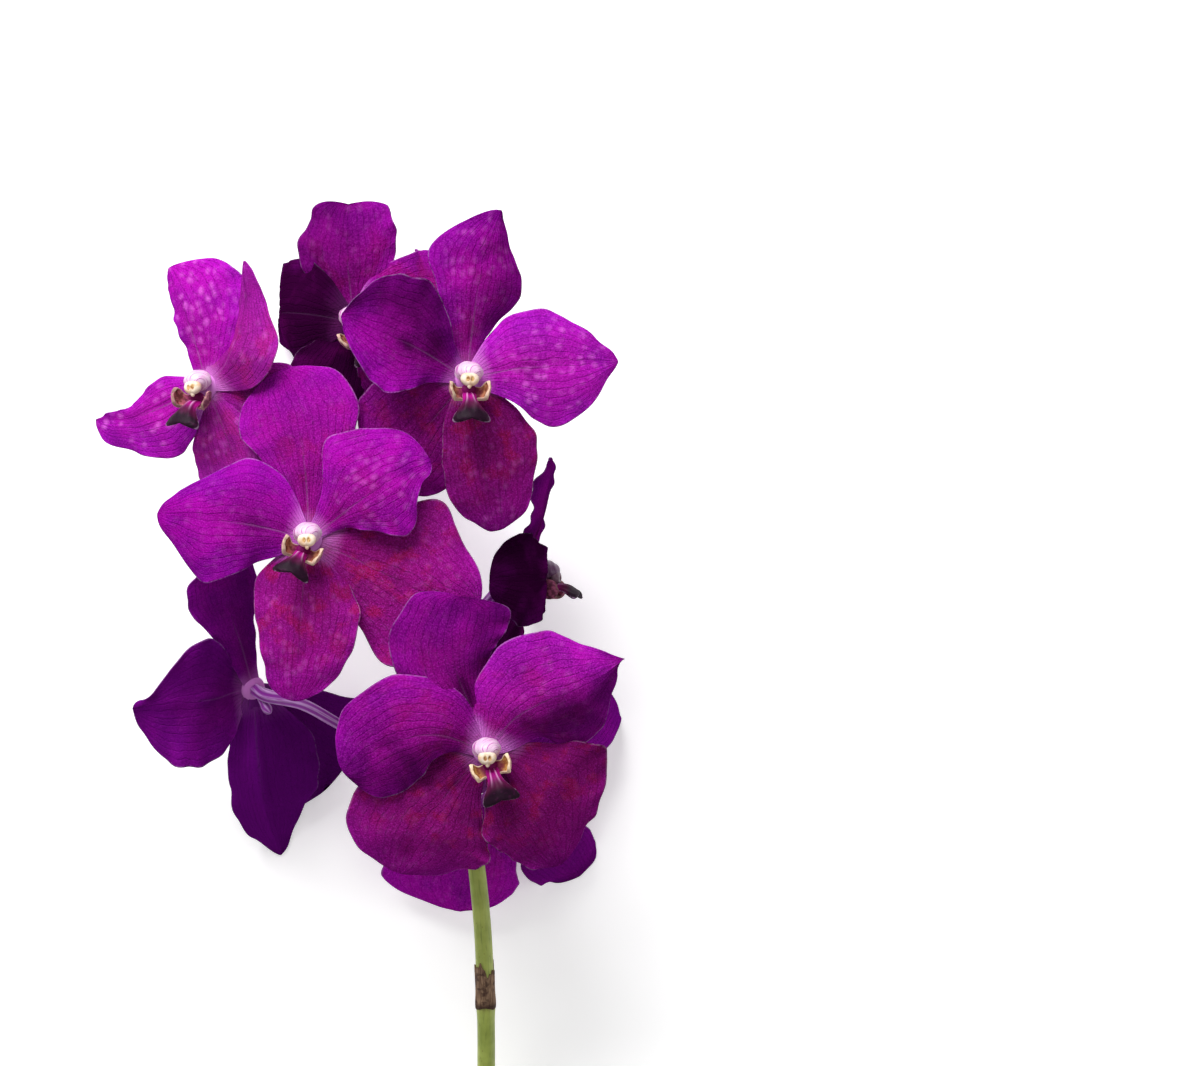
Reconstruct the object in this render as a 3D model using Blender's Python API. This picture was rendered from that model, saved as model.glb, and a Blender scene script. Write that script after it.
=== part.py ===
"""A cut spray of a large-flowered vanda orchid, laid on its back on a table.

+Z is up, away from the table, and +Y points along the spray from the cut end to the last bloom.
Eight blooms sit round a green flower stem. Four of them look up from the table, one looks up
from deeper down at the far end, and three lie underneath or at the side and carry the spray.
Every petal and sepal is one blade: a smooth midrib, a half-width to its left and to its right
along it, and a cross-section that is folded, cupped and waved. All sizes below are millimetres.
"""

import math
from collections import namedtuple

import bmesh
import bpy
import numpy as np

MM = 0.001
SHARP_EDGE = 50

# The whole spray
STEM_ROUTE = ((40, -169, 3.05), (39.5, -140, 12), (39.5, -110, 24), (37.5, -56, 41), (31, -14, 49),
              (22, 24, 51), (13, 65, 47), (9.5, 97, 36), (5.5, 116, 25))
STEM_RADII = (3.1, 2.95, 2.9, 2.85, 2.7, 2.6, 2.4, 2.1, 1.3)
STEM_SHEATH_JOINT = 0.272
STEM_JOINT_SWELL = 0.35
STEM_JOINT_REACH = 0.012
STEM_SIDES = 10
STEM_RINGS = 24

# The blades
BLADE_THICKNESS = 0.8
BLADE_ROWS = 7
BLADE_COLUMNS = 4
BLADE_CROWDING = 1.6
BLADE_GROWN = 0.32
BLADE_LAST = 0.985
WAVE_TURN = 0.37
CLAW_HALF_WIDTH = 2.3
CLAW_LENGTH = 6.0
PETAL_LIFT = 0.55
TABLE_HEIGHT = BLADE_THICKNESS / 2
TABLE_BLEND = 2.5

# The middle of a bloom
HUB_RADIUS = 4.2
HUB_HALF_DEPTH = 2.1
HUB_SEGMENTS = 9
GAP = 0.35
STALK_GAP = 0.5
COLUMN_ROUTE = ((0, 1.0, HUB_HALF_DEPTH + GAP), (0, 1.5, 5.1), (0, 1.0, 7.9), (0, -0.7, 10.0))
COLUMN_RADII = (2.5, 3.5, 2.9, 1.5)
COLUMN_BREADTH = 1.3
COLUMN_SIDES = 8
COLUMN_RINGS = 6
LIP_ROOT = (0, -4.1, 4.7)
LIP_ROOT_RADII = (2.5, 2.0, 1.9)
LIP_THICKNESS = 1.3
LIP_SEGMENTS = 8
LIP_ROWS = 4
LIP_COLUMNS = 2
TONGUE_START = (0, -5.2, 4.9)
TONGUE_LENGTH = 12.5
TONGUE_BEND = 16
TONGUE_HALVES = (2.3, 3.2, 5.4, 6.6, 4.9)
TONGUE_CUP = -42
TONGUE_NOTCH = 1.7
SIDE_LOBE_ROUTE = ((1.5, -5.3, 4.9), (4.3, -5.4, 6.1), (6.0, -4.6, 8.3), (6.1, -3.7, 10.7))
SIDE_LOBE_HALVES = (2.3, 2.9, 3.2, 3.0, 2.1)
SIDE_LOBE_CUP = 30

# The flower stalks
STALK_RADII = (1.5, 1.35, 1.5, 1.9, 2.1)
STALK_SIDES = 7
STALK_RINGS = 9
STALK_LEAD = 7.0
STALK_FOOT = 3.0
SPUR_ROUTE = ((0, -0.8, -4.5), (0, -3.6, -7.0), (0, -5.6, -11.0))
SPUR_RADII = (1.5, 1.4, 0.8)
SPUR_SIDES = 6
SPUR_RINGS = 4

# A tepal: its midrib as (x, y, rise) from the bloom's middle, where rise is above the bloom's own
# plane; half-widths at five places between base and tip; cup and fold in degrees for the left and
# the right half; wave as (height, number of waves, start in turns); and how far the outline
# reaches past the tip on both sides of a notch.
Tepal = namedtuple("Tepal", "midrib left right cup fold wave notch", defaults=((-14, -14), (0, 0),
                   (0.9, 2.2, 0.1), 0))
Bloom = namedtuple("Bloom", "middle faces up lip_turn tongue_drop stalk_place stalk petals sepals")

BLOOMS = {
    "centre_bloom": Bloom(
        middle=(-16.3, 59.5, 94), faces=(-0.06, 0.06, 1), up=(-0.05, 1, 0), lip_turn=-24,
        tongue_drop=36, stalk_place=0.66, stalk=((10, 51, 68),),
        petals=(
            Tepal(((-16, 4, 3), (-32, 6, 3), (-49, 8, -3)), (11, 17.5, 20, 12, 6),
                  (18, 21, 15.5, 10, 5), (-20, -16), (0, 0), (1.2, 1.7, 0.35)),
            Tepal(((12, 9, 4), (25, 18, 5), (39, 25, 2)), (10, 22, 20, 16.5, 11),
                  (4.5, 14.5, 17, 8, 4), (-12, -18), (0, 0), (1.3, 2.1, 0.0)),
        ),
        sepals=(
            Tepal(((-1, 18, 0), (-4, 38, 1), (-10, 54, -4)), (7, 14, 19, 18, 12),
                  (7, 15, 20, 19, 12), (-16, -16)),
            Tepal(((-2, -17, 1), (-3, -34, 1), (-5, -52, -5)), (15, 19, 16.5, 12.5, 6.5),
                  (15.5, 15, 13.5, 11, 8), (-14, -22)),
            Tepal(((18, -8, -2), (36, -17, -5), (54, -25, -10)), (13, 28, 25, 18, 11),
                  (12, 20, 26, 20, 11), (-12, -10), (0, 0), (1.4, 1.6, 0.6)),
        ),
    ),
    "right_bloom": Bloom(
        middle=(34.2, 111, 93), faces=(0.12, 0.05, 1), up=(0.06, 1, 0), lip_turn=4,
        tongue_drop=44, stalk_place=0.84, stalk=((20, 98, 62),),
        petals=(
            Tepal(((-13, 8, 4), (-26, 14, 6), (-40, 20, 3)), (9, 17, 15, 9.5, 4),
                  (9, 20, 20, 17.5, 8.5), (14, 10), (0, 0), (1.2, 2.6, 0.2)),
            Tepal(((16, 3, 3), (32, 4, 3), (48.5, 5.5, -3)), (15.5, 19, 16, 10.5, 4.5),
                  (10.5, 19, 18, 11.3, 4.5), (-18, -24), (0, 0), (1.1, 2.0, 0.45)),
        ),
        sepals=(
            Tepal(((2, 18, 0), (5, 36, 1), (11, 54, -3)), (9, 13, 18, 12, 5.5),
                  (5, 13.5, 12.3, 6.3, 2.3), (-16, -14)),
            Tepal(((-9, -11, -4), (-18, -22, -9), (-27, -33, -13)), (8, 15, 18, 16, 10),
                  (15, 22, 22, 16, 9), (-10, -10)),
            Tepal(((3, -16, 0), (6, -32, -2), (9, -49, -8)), (15, 19.5, 17, 14, 10),
                  (10, 12.5, 13, 10.7, 4.5), (-22, -14)),
        ),
    ),
    "front_bloom": Bloom(
        middle=(40.3, -8.3, 97), faces=(0.06, -0.12, 1), up=(-0.03, 1, 0), lip_turn=16,
        tongue_drop=52, stalk_place=0.47, stalk=((34, -14, 70),),
        petals=(
            Tepal(((-14, 5, 4), (-29, 3, 5), (-45.5, -7, 0)), (5.5, 13, 16, 15.5, 12),
                  (14, 20, 19, 15, 7.5), (-12, -16), (0, 0), (1.3, 2.0, 0.5)),
            Tepal(((9.5, 10.5, 5), (23, 17.5, 8), (37, 24, 8), (44.5, 29.5, 5)),
                  (17.5, 23, 19.5, 12.5, 4.5), (14, 22.5, 21.5, 9, 2.2), (-16, -8), (0, -30),
                  (1.2, 2.2, 0.1)),
        ),
        sepals=(
            Tepal(((-4, 12, 1), (-10, 28, 2), (-8.5, 49.5, -1)), (6.5, 16, 20.5, 17, 12),
                  (5, 10.5, 15.5, 18, 15), (-16, -14), (0, 0), (1.4, 2.4, 0.3), 4),
            Tepal(((-10, -11, 1), (-20, -23, 0), (-28, -39.5, -7)), (10, 22, 25, 20.5, 12.5),
                  (12, 21, 24, 22, 14), (-14, -20), (0, 0), (1.4, 2.2, 0.7)),
            Tepal(((8, -11, 3), (16, -23, 3), (23.5, -37, -3)), (22, 32, 25, 16, 8),
                  (8, 16.5, 14.5, 12, 6.5), (-18, -12), (0, 0), (1.5, 2.8, 0.2)),
        ),
    ),
    "left_bloom": Bloom(
        middle=(-49.9, 108.5, 80), faces=(-0.5, 0.06, 1), up=(-0.12, 1, 0), lip_turn=-12,
        tongue_drop=38, stalk_place=0.75, stalk=((-6, 84, 56), (-26, 96, 63)),
        petals=(
            Tepal(((-11, -5, 3), (-23, -10, 3), (-36.5, -10.5, -2)), (14, 16, 10.5, 8.5, 5),
                  (9, 7, 4, 3, 1.5), (-20, -12)),
            Tepal(((8, 10, 5), (12.3, 24, 9), (12.8, 40, 12)), (9, 13, 13, 9, 5),
                  (12, 15, 9, 5.5, 3), (-10, -20), (-52, 0), (0.8, 1.8, 0.2)),
        ),
        sepals=(
            Tepal(((-3, 12, 0), (-7.5, 25, 1), (-12.5, 38.5, -2)), (4, 4.6, 4, 2.8, 1.2),
                  (12, 20, 22, 18.5, 10.5), (-14, -18)),
            Tepal(((5, -12, -1), (9, -24, -4), (12, -38, -8)), (6, 12, 14, 12, 7),
                  (9, 14, 15, 13, 8), (-12, -14)),
            Tepal(((11, 0, -3), (22, -3, -8), (33, -8, -13)), (5, 9, 11, 9, 5),
                  (9, 14, 15, 11, 5), (-10, -10)),
        ),
    ),
    "top_bloom": Bloom(
        middle=(-3.4, 130.2, 43), faces=(-0.05, 0, 1), up=(0.08, 1, 0), lip_turn=34,
        tongue_drop=40, stalk_place=0.985, stalk=(),
        petals=(
            Tepal(((-11.5, 2, 1), (-20, 3, -4), (-24.5, 3, -19), (-25.5, 3, -42.6)),
                  (16, 20, 18, 13, 7), (17, 18, 15, 11, 6), (-38, -30), (0, 0), (1.6, 3.4, 0.1)),
            Tepal(((9, 4.5, 1), (19.5, 6, -4), (29, 7, -20), (32, 7, -42)), (14, 18, 17, 13, 7),
                  (6, 11, 14, 12, 7), (-14, -14), (0, 0), (1.6, 2.4, 0.4)),
        ),
        sepals=(
            Tepal(((-1.4, 13, 0), (-2.1, 26, 1), (-1.8, 38.4, -2)), (12, 18, 15.5, 13, 8.5),
                  (11, 16, 15.5, 13.5, 9), (-14, -18), (-16, 0), (1.0, 2.2, 0.2), 8),
            Tepal(((-4, -11.5, 1), (-8, -21, 2), (-12.3, -31, 1)), (6, 11, 12, 9, 5),
                  (9, 14, 14, 11, 6), (-12, -12)),
            Tepal(((6, -9, 1), (11.5, -17, 3), (16.7, -28, 4)), (6, 10, 11, 8, 4),
                  (5, 9, 10, 8, 4), (-12, -12)),
        ),
    ),
    "lower_left_bloom": Bloom(
        middle=(-36.5, 10.6, 34), faces=(-0.5, 0.25, -0.83), up=(-0.3, 1, 0), lip_turn=0,
        tongue_drop=25, stalk_place=0.46, stalk=((14, -13, 55), (-6, -1.5, 56), (-19, 5.5, 53)),
        petals=(
            Tepal(((-11, -2.6, 2.4), (-24, -4, 3), (-38.5, -6, -3)), (14, 21, 14, 5, 1.5),
                  (18, 22, 21.5, 18, 9.5), (-10, -12), (0, 0), (1.0, 2.0, 0.2)),
            Tepal(((9, -6, -3), (19, -15, -8), (30, -25, -14)), (10, 18, 22, 21, 15),
                  (8, 13, 17, 18, 13), (-12, -12)),
        ),
        sepals=(
            Tepal(((-3.8, 14, 2.6), (-8, 28, 3), (-12, 42, 4)), (6, 11, 15.5, 15.5, 10),
                  (5, 8, 12, 12, 8), (40, 10)),
            Tepal(((1, -18, 2), (3, -36, -1), (8, -55.5, -14)), (9, 12, 12, 9, 5),
                  (19, 21, 18.5, 11, 4), (8, -10), (50, 0)),
            Tepal(((0, -10, -8), (4, -20, -19), (9, -31, -28)), (6, 9, 10, 8, 5),
                  (6, 10, 11, 9, 5), (-12, -12)),
        ),
    ),
    "side_bloom": Bloom(
        middle=(53.7, 48, 47), faces=(0.96, -0.04, 0.2), up=(0, 1, 0), lip_turn=0,
        tongue_drop=0, stalk_place=0.585, stalk=((36, 33, 55), (43.5, 43, 49)),
        petals=(
            Tepal(((4.5, -1, 10), (3.5, -2, 21), (-12.5, -2, 31)), (8, 13, 15, 12, 7),
                  (8, 13, 16, 14, 9), (-16, -16), (0, 0), (1.4, 2.4, 0.2)),
            Tepal(((2, 1, -11), (2, 0, -29), (-2.5, -3, -50)), (8, 13, 15, 12, 7),
                  (8, 13, 15, 12, 7), (-12, -12)),
        ),
        sepals=(
            Tepal(((2.5, 13, 0), (5.5, 26, 1), (7.5, 38, 3)), (8, 12, 13, 11, 6),
                  (8, 12, 13, 11, 6), (-14, -14)),
            Tepal(((-2, -10, 5), (-6, -20, 9), (-12.5, -31, 10)), (7, 12, 14, 12, 7),
                  (7, 12, 14, 12, 7), (-14, -14)),
            Tepal(((-1, -9, -8), (-5, -20, -17), (-9.5, -31, -27)), (7, 12, 14, 12, 7),
                  (7, 12, 14, 12, 7), (-14, -14)),
        ),
    ),
    "back_bloom": Bloom(
        middle=(44.8, -20.8, 30), faces=(0, 0, -1), up=(-0.3, 1, 0), lip_turn=0,
        tongue_drop=20, stalk_place=0.53, stalk=(),
        petals=(
            Tepal(((-13, 3, -1), (-26, 4, -12), (-37, 2, -28)), (7, 12, 14, 12, 7),
                  (7, 12, 14, 12, 7), (12, 12)),
            Tepal(((14, 10, -1), (27, 20, -13), (34.5, 30, -31)), (7, 10, 11, 9, 6),
                  (8, 14, 16, 13, 8), (12, 12)),
        ),
        sepals=(
            Tepal(((-2, 13, -1), (-5, 26, -9), (-8, 38, -22)), (7, 12, 14, 12, 7),
                  (7, 12, 14, 12, 7), (12, 12)),
            Tepal(((-5, -12, 0), (-11, -25, -8), (-14.5, -42, -20)), (9, 18, 25, 27, 21),
                  (9, 15, 18, 17, 11), (12, 12)),
            Tepal(((9, -10, -1), (17.5, -20.5, -13), (25.5, -31, -34)), (7, 12, 14, 12, 8),
                  (7, 11, 12, 11, 8), (12, 12)),
        ),
    ),
}

MATERIALS = {
    "tepals": ((0.27, 0.005, 0.30), 0.45),
    "column": ((0.80, 0.66, 0.58), 0.40),
    "lip": ((0.045, 0.004, 0.03), 0.35),
    "stalk": ((0.45, 0.25, 0.48), 0.45),
    "stem": ((0.16, 0.20, 0.05), 0.50),
}


def unit(vector):
    """A vector, or each row of an array of them, at length 1."""
    vector = np.asarray(vector, float)
    return vector / np.linalg.norm(vector, axis=-1, keepdims=True)


def smooth(places, values, at):
    """The natural cubic spline through values at places, read at the places in at."""
    places = np.asarray(places, float)
    values = np.asarray(values, float)
    flat = values.reshape(len(values), -1)
    step = np.diff(places)
    slope = np.diff(flat, axis=0) / step[:, None]
    matrix = np.eye(len(places))
    target = np.zeros_like(flat)
    for i in range(1, len(places) - 1):
        matrix[i, i - 1:i + 2] = step[i - 1], 2 * (step[i - 1] + step[i]), step[i]
        target[i] = 6 * (slope[i] - slope[i - 1])
    bend = np.linalg.solve(matrix, target)
    at = np.clip(np.asarray(at, float), places[0], places[-1])
    i = np.clip(np.searchsorted(places, at, side="right") - 1, 0, len(step) - 1)
    b = ((at - places[i]) / step[i])[..., None]
    a = 1 - b
    h = step[i][..., None]
    read = (a * flat[i] + b * flat[i + 1]
            + ((a ** 3 - a) * bend[i] + (b ** 3 - b) * bend[i + 1]) * h * h / 6)
    return read.reshape(at.shape + values.shape[1:])


def ease(x):
    """0 up to x = 0, 1 from x = 1, with a smooth rise between."""
    x = np.clip(x, 0, 1)
    return x * x * (3 - 2 * x)


def spaced(points):
    """The distance run along a list of points, from 0 at the first to 1 at the last."""
    run = np.concatenate([[0], np.cumsum(np.linalg.norm(np.diff(points, axis=0), axis=1))])
    return run / run[-1]


def bloom_axes(bloom):
    """The bloom's own right, up and forward directions, at right angles to each other."""
    forward = unit(bloom.faces)
    right = unit(np.cross(bloom.up, forward))
    return np.array([right, np.cross(forward, right), forward])


def to_world(bloom, points, turn=0.0):
    """Points in the bloom's own right, up and forward, turned by some degrees, in the frame."""
    c, s = math.cos(math.radians(turn)), math.sin(math.radians(turn))
    right, up, forward = bloom_axes(bloom)
    axes = np.array([c * right + s * up, c * up - s * right, forward])
    return np.asarray(bloom.middle) + np.asarray(points, float) @ axes


def midrib_of(bloom, tepal, lift):
    """The midrib's points in the frame: the middle, the claw's end in the bloom's plane, the rest."""
    faces = unit(bloom.faces)
    given = np.array(tepal.midrib, float)
    if abs(faces[2]) > 0.5:
        given[:, 2] -= (given[:, :2] @ faces[:2]) / faces[2]
    along = given[0] - (given[0] @ faces) * faces
    claw = CLAW_LENGTH * unit(along) + lift * faces
    return np.asarray(bloom.middle) + np.vstack([lift * faces, claw, given])


def blade_surface(midrib, faces, tepal, t, v):
    """The middle surface of a blade at t, base 0 to tip 1, and v, right edge -1 to left edge 1.

    The point runs along the midrib by 1 - (1 - t) ^ BLADE_CROWDING. From there it goes out along
    a circular arc whose turn at the edge is the cup, after the whole half has been turned by the
    fold. A sine wave along the blade is added, which grows with the cube of v. What would sink
    into the table is laid flat on it.
    """
    run = 1 - (1 - t) ** BLADE_CROWDING
    places = spaced(midrib)
    spine = smooth(places, midrib, run)
    ahead = smooth(places, midrib, np.minimum(run + 0.004, 1))
    behind = smooth(places, midrib, np.maximum(run - 0.004, 0))
    along = unit(ahead - behind)
    toward = np.broadcast_to(faces, along.shape)
    toward = unit(toward - np.sum(toward * along, axis=-1, keepdims=True) * along)
    left = np.cross(toward, along)
    stations = np.linspace(0, 1, 7)
    on_left = v >= 0
    halves = [np.maximum(smooth(stations, (CLAW_HALF_WIDTH,) + side + (0,), t), 0)
              for side in (tepal.left, tepal.right)]
    width = np.where(on_left, halves[0], halves[1])
    out = np.abs(v)
    grown = ease(run / BLADE_GROWN)
    cup = np.radians(np.where(on_left, *tepal.cup)) * grown + 1e-4
    fold = np.radians(np.where(on_left, *tepal.fold)) * grown
    across = width / cup * np.sin(cup * out)
    height = width / cup * (1 - np.cos(cup * out))
    size, count, start = tepal.wave
    phase = 2 * np.pi * (count * run + start + np.where(on_left, 0, WAVE_TURN))
    height = height + size * grown * out ** 3 * np.sin(phase) * ease((1 - t) * 5)
    aside = across * np.cos(fold) - height * np.sin(fold)
    raised = across * np.sin(fold) + height * np.cos(fold)
    widest = max(max(tepal.left), max(tepal.right))
    forward = tepal.notch * out ** 1.5 * width / widest * ease(run / 0.9)
    point = (spine + np.where(on_left, 1.0, -1.0)[..., None] * left * aside[..., None]
             + toward * raised[..., None] + along * forward[..., None])
    above = point[..., 2] - TABLE_HEIGHT
    blended = np.clip(above + TABLE_BLEND, 0, 2 * TABLE_BLEND) ** 2 / (4 * TABLE_BLEND)
    point[..., 2] = TABLE_HEIGHT + np.where(above > TABLE_BLEND, above, blended)
    return point


def blade_mesh(midrib, faces, tepal, thickness, rows, columns):
    """A closed blade: the middle surface moved half the thickness to each side, and its rim."""
    t, v = np.meshgrid(np.linspace(0, 1, rows + 1), np.linspace(-1, 1, columns + 1), indexing="ij")
    inner_t = np.clip(t, 0, BLADE_LAST)

    def at(t_there, v_there):
        return blade_surface(midrib, faces, tepal, t_there, v_there)

    middle = at(t, v)
    small = 0.01
    along = at(np.minimum(inner_t + small, 1), v) - at(np.maximum(inner_t - small, 0), v)
    across = at(inner_t, np.minimum(v + small, 1)) - at(inner_t, np.maximum(v - small, -1))
    normal = unit(np.cross(along, across))
    normal[-1] = unit(normal[-1, columns // 2])
    front = middle + normal * thickness / 2
    back = middle - normal * thickness / 2
    count = rows * (columns + 1)
    points = np.vstack([front[:-1].reshape(-1, 3), front[-1, :1], back[:-1].reshape(-1, 3),
                        back[-1, :1]])

    def index(row, column, on_back):
        return (count + 1) * on_back + (row * (columns + 1) + column if row < rows else count)

    triangles = []
    for row in range(rows):
        for column in range(columns):
            a, b = index(row, column, 0), index(row + 1, column, 0)
            c, d = index(row + 1, column + 1, 0), index(row, column + 1, 0)
            found = [(a, b, d)] if b == c else [(a, b, c), (a, c, d)]
            for one, two, three in found:
                triangles.append((one, two, three))
                other = count + 1
                triangles.append((three + other, two + other, one + other))
    rim = [(row, 0) for row in range(rows + 1)]
    rim += [(row, columns) for row in range(rows - 1, -1, -1)]
    rim += [(0, column) for column in range(columns - 1, 0, -1)]
    for here, there in zip(rim, rim[1:] + rim[:1]):
        a, b = index(*here, 0), index(*there, 0)
        c, d = index(*there, 1), index(*here, 1)
        triangles += [(b, a, d), (b, d, c)]
    return points, triangles


def tube_mesh(route, radii, sides, at):
    """A closed tube with a ring at each place in at along a smooth route, and flat ends."""
    places = spaced(route)
    rings = len(at)
    spine = smooth(places, route, at)
    radius = radii(at) if callable(radii) else smooth(np.linspace(0, 1, len(radii)), radii, at)
    along = unit(np.gradient(spine, axis=0))
    side = unit(np.cross(along, (0.31, -0.2, 0.93)))
    other = np.cross(along, side)
    angle = np.linspace(0, 2 * np.pi, sides, endpoint=False)
    ring = np.cos(angle)[:, None, None] * side + np.sin(angle)[:, None, None] * other
    points = (spine + radius[:, None] * ring).transpose(1, 0, 2).reshape(-1, 3)
    faces = [tuple(reversed(range(sides))), tuple(range((rings - 1) * sides, rings * sides))]
    for i in range(rings - 1):
        for j in range(sides):
            k = (j + 1) % sides
            faces.append((i * sides + j, i * sides + k, (i + 1) * sides + k, (i + 1) * sides + j))
    return points, faces


def ball_mesh(middle, radii, axes, segments, rings=5):
    """A closed ellipsoid with its half-lengths along the given axes."""
    mesh = bmesh.new()
    bmesh.ops.create_uvsphere(mesh, u_segments=segments, v_segments=rings, radius=1)
    points = np.array([vertex.co[:] for vertex in mesh.verts]) * radii @ axes + middle
    faces = [[vertex.index for vertex in face.verts] for face in mesh.faces]
    mesh.free()
    return points, faces


def make_object(name, points, faces, material):
    """An object with this mesh, in metres, its faces turned outwards."""
    mesh = bpy.data.meshes.new(name)
    mesh.from_pydata((np.asarray(points) * MM).tolist(), [], [list(face) for face in faces])
    work = bmesh.new()
    work.from_mesh(mesh)
    bmesh.ops.recalc_face_normals(work, faces=work.faces)
    work.to_mesh(mesh)
    work.free()
    mesh.materials.append(material)
    made = bpy.data.objects.new(name, mesh)
    bpy.context.scene.collection.objects.link(made)
    return made


def fuse(base, pieces, name):
    """The base joined with all the pieces by one union, as one mesh, and the pieces removed."""
    holder = bpy.data.collections.new(name + "_pieces")
    for piece in pieces:
        bpy.context.scene.collection.objects.unlink(piece)
        holder.objects.link(piece)
    join = base.modifiers.new("join", "BOOLEAN")
    join.operation = "UNION"
    join.solver = "EXACT"
    join.operand_type = "COLLECTION"
    join.collection = holder
    graph = bpy.context.evaluated_depsgraph_get()
    joined = bpy.data.meshes.new_from_object(base.evaluated_get(graph))
    base.modifiers.clear()
    base.data = joined
    for piece in list(holder.objects):
        bpy.data.objects.remove(piece)
    bpy.data.collections.remove(holder)
    joined.shade_smooth()
    joined.set_sharp_from_angle(angle=math.radians(SHARP_EDGE))
    base.name = name
    return base


def make_tepals(name, bloom, material):
    """Five blades and the hub they grow from, as one body."""
    axes = bloom_axes(bloom)
    hub = make_object(name, *ball_mesh(np.asarray(bloom.middle),
                                       (HUB_RADIUS, HUB_RADIUS, HUB_HALF_DEPTH), axes,
                                       HUB_SEGMENTS), material)
    pieces = []
    for lift, group in ((PETAL_LIFT, bloom.petals), (-PETAL_LIFT, bloom.sepals)):
        for tepal in group:
            blade = blade_mesh(midrib_of(bloom, tepal, lift), unit(bloom.faces), tepal,
                               BLADE_THICKNESS, BLADE_ROWS, BLADE_COLUMNS)
            pieces.append(make_object(name + "_blade", *blade, material))
    return fuse(hub, pieces, name)


def make_column(name, bloom, material):
    """The short thick column in the middle of a bloom, with its rounded cap leaning down."""
    points, faces = tube_mesh(np.array(COLUMN_ROUTE), COLUMN_RADII, COLUMN_SIDES,
                              np.linspace(0, 1, COLUMN_RINGS))
    points = to_world(bloom, points * (COLUMN_BREADTH, 1, 1))
    return make_object(name, points, faces, material)


def lip_blade(bloom, route, halves, cup, notch, facing):
    """One lobe of the lip, given in the bloom's own right, up and forward."""
    lobe = Tepal((), halves, halves, (cup, cup), (0, 0), (0, 1, 0), notch)
    direction = unit(to_world(bloom, facing, bloom.lip_turn) - np.asarray(bloom.middle))
    return to_world(bloom, route, bloom.lip_turn), direction, lobe


def tongue_route(drop):
    """The tongue's midrib from the root: it starts drop degrees below forward and bends down."""
    route = [np.array(TONGUE_START)]
    for step in range(3):
        angle = math.radians(drop + TONGUE_BEND * (step - 1))
        ahead = np.array([0, -math.sin(angle), math.cos(angle)])
        route.append(route[-1] + ahead * TONGUE_LENGTH / 3)
    return np.array(route)


def make_lip(name, bloom, material):
    """The lip: a root under the column, two upright side lobes and the dark tongue."""
    root_at = to_world(bloom, LIP_ROOT, bloom.lip_turn)
    root = make_object(name, *ball_mesh(root_at, LIP_ROOT_RADII, bloom_axes(bloom), LIP_SEGMENTS),
                       material)
    lobes = [lip_blade(bloom, tongue_route(bloom.tongue_drop), TONGUE_HALVES, TONGUE_CUP,
                       TONGUE_NOTCH, (0, 1, 1))]
    for side in (-1, 1):
        lobes.append(lip_blade(bloom, np.array(SIDE_LOBE_ROUTE) * (side, 1, 1), SIDE_LOBE_HALVES,
                               SIDE_LOBE_CUP, 0, (-side, 0.3, 0.4)))
    pieces = [make_object(name + "_lobe", *blade_mesh(route, facing, lobe, LIP_THICKNESS, LIP_ROWS,
                                                       LIP_COLUMNS), material)
              for route, facing, lobe in lobes]
    return fuse(root, pieces, name)


def make_stalk(name, bloom, material):
    """The stalk from the stem to the back of the bloom, with the short spur below its end."""
    end = to_world(bloom, ((0, 0, -STALK_LEAD), (0, 0, -HUB_HALF_DEPTH - STALK_GAP)))
    rest = np.vstack([np.asarray(bloom.stalk, float).reshape(-1, 3), end])
    joint, along = stem_at(bloom.stalk_place)
    out = rest[0] - joint
    out = unit(out - (out @ along) * along)
    skin = stem_radius(bloom.stalk_place) + GAP
    route = np.vstack([joint + out * skin, joint + out * (skin + STALK_FOOT), rest])
    stalk = make_object(name, *tube_mesh(route, STALK_RADII, STALK_SIDES,
                                         0.5 - 0.5 * np.cos(np.linspace(0, np.pi, STALK_RINGS))),
                        material)
    spur = tube_mesh(to_world(bloom, SPUR_ROUTE), SPUR_RADII, SPUR_SIDES,
                     np.linspace(0, 1, SPUR_RINGS))
    return fuse(stalk, [make_object(name + "_spur", *spur, material)], name)


def stem_joints():
    """The places of the stem's joints: the sheathed one below the blooms, and one at each stalk."""
    return np.array([STEM_SHEATH_JOINT] + [bloom.stalk_place for bloom in BLOOMS.values()])


def stem_radius(at):
    """The stem tapers to its tip and swells a little at each joint."""
    at = np.asarray(at, float)
    radius = smooth(np.linspace(0, 1, len(STEM_RADII)), STEM_RADII, at)
    nearest = np.abs(at[..., None] - stem_joints()).min(axis=-1)
    return radius + STEM_JOINT_SWELL * np.exp(-(nearest / STEM_JOINT_REACH) ** 2)


def stem_at(place):
    """The stem's middle and its direction at a place between its foot, 0, and its tip, 1."""
    route = np.array(STEM_ROUTE, float)
    here, near = smooth(spaced(route), route, np.array([place, place - 0.01]))
    return here, unit(here - near)


def make_stem(name, material):
    """The green flower stem, cut square at its foot."""
    at = np.unique(np.concatenate([np.linspace(0, 1, STEM_RINGS), stem_joints()]).round(2))
    points, faces = tube_mesh(np.array(STEM_ROUTE, float), stem_radius, STEM_SIDES, at)
    stem = make_object(name, points, faces, material)
    stem.data.shade_smooth()
    stem.data.set_sharp_from_angle(angle=math.radians(SHARP_EDGE))
    return stem


def make_material(name, colour, roughness):
    """A plain Principled material."""
    material = bpy.data.materials.new(name)
    material.use_nodes = True
    shader = material.node_tree.nodes["Principled BSDF"]
    shader.inputs["Base Color"].default_value = (*colour, 1)
    shader.inputs["Roughness"].default_value = roughness
    shader.inputs["Metallic"].default_value = 0
    return material


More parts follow.
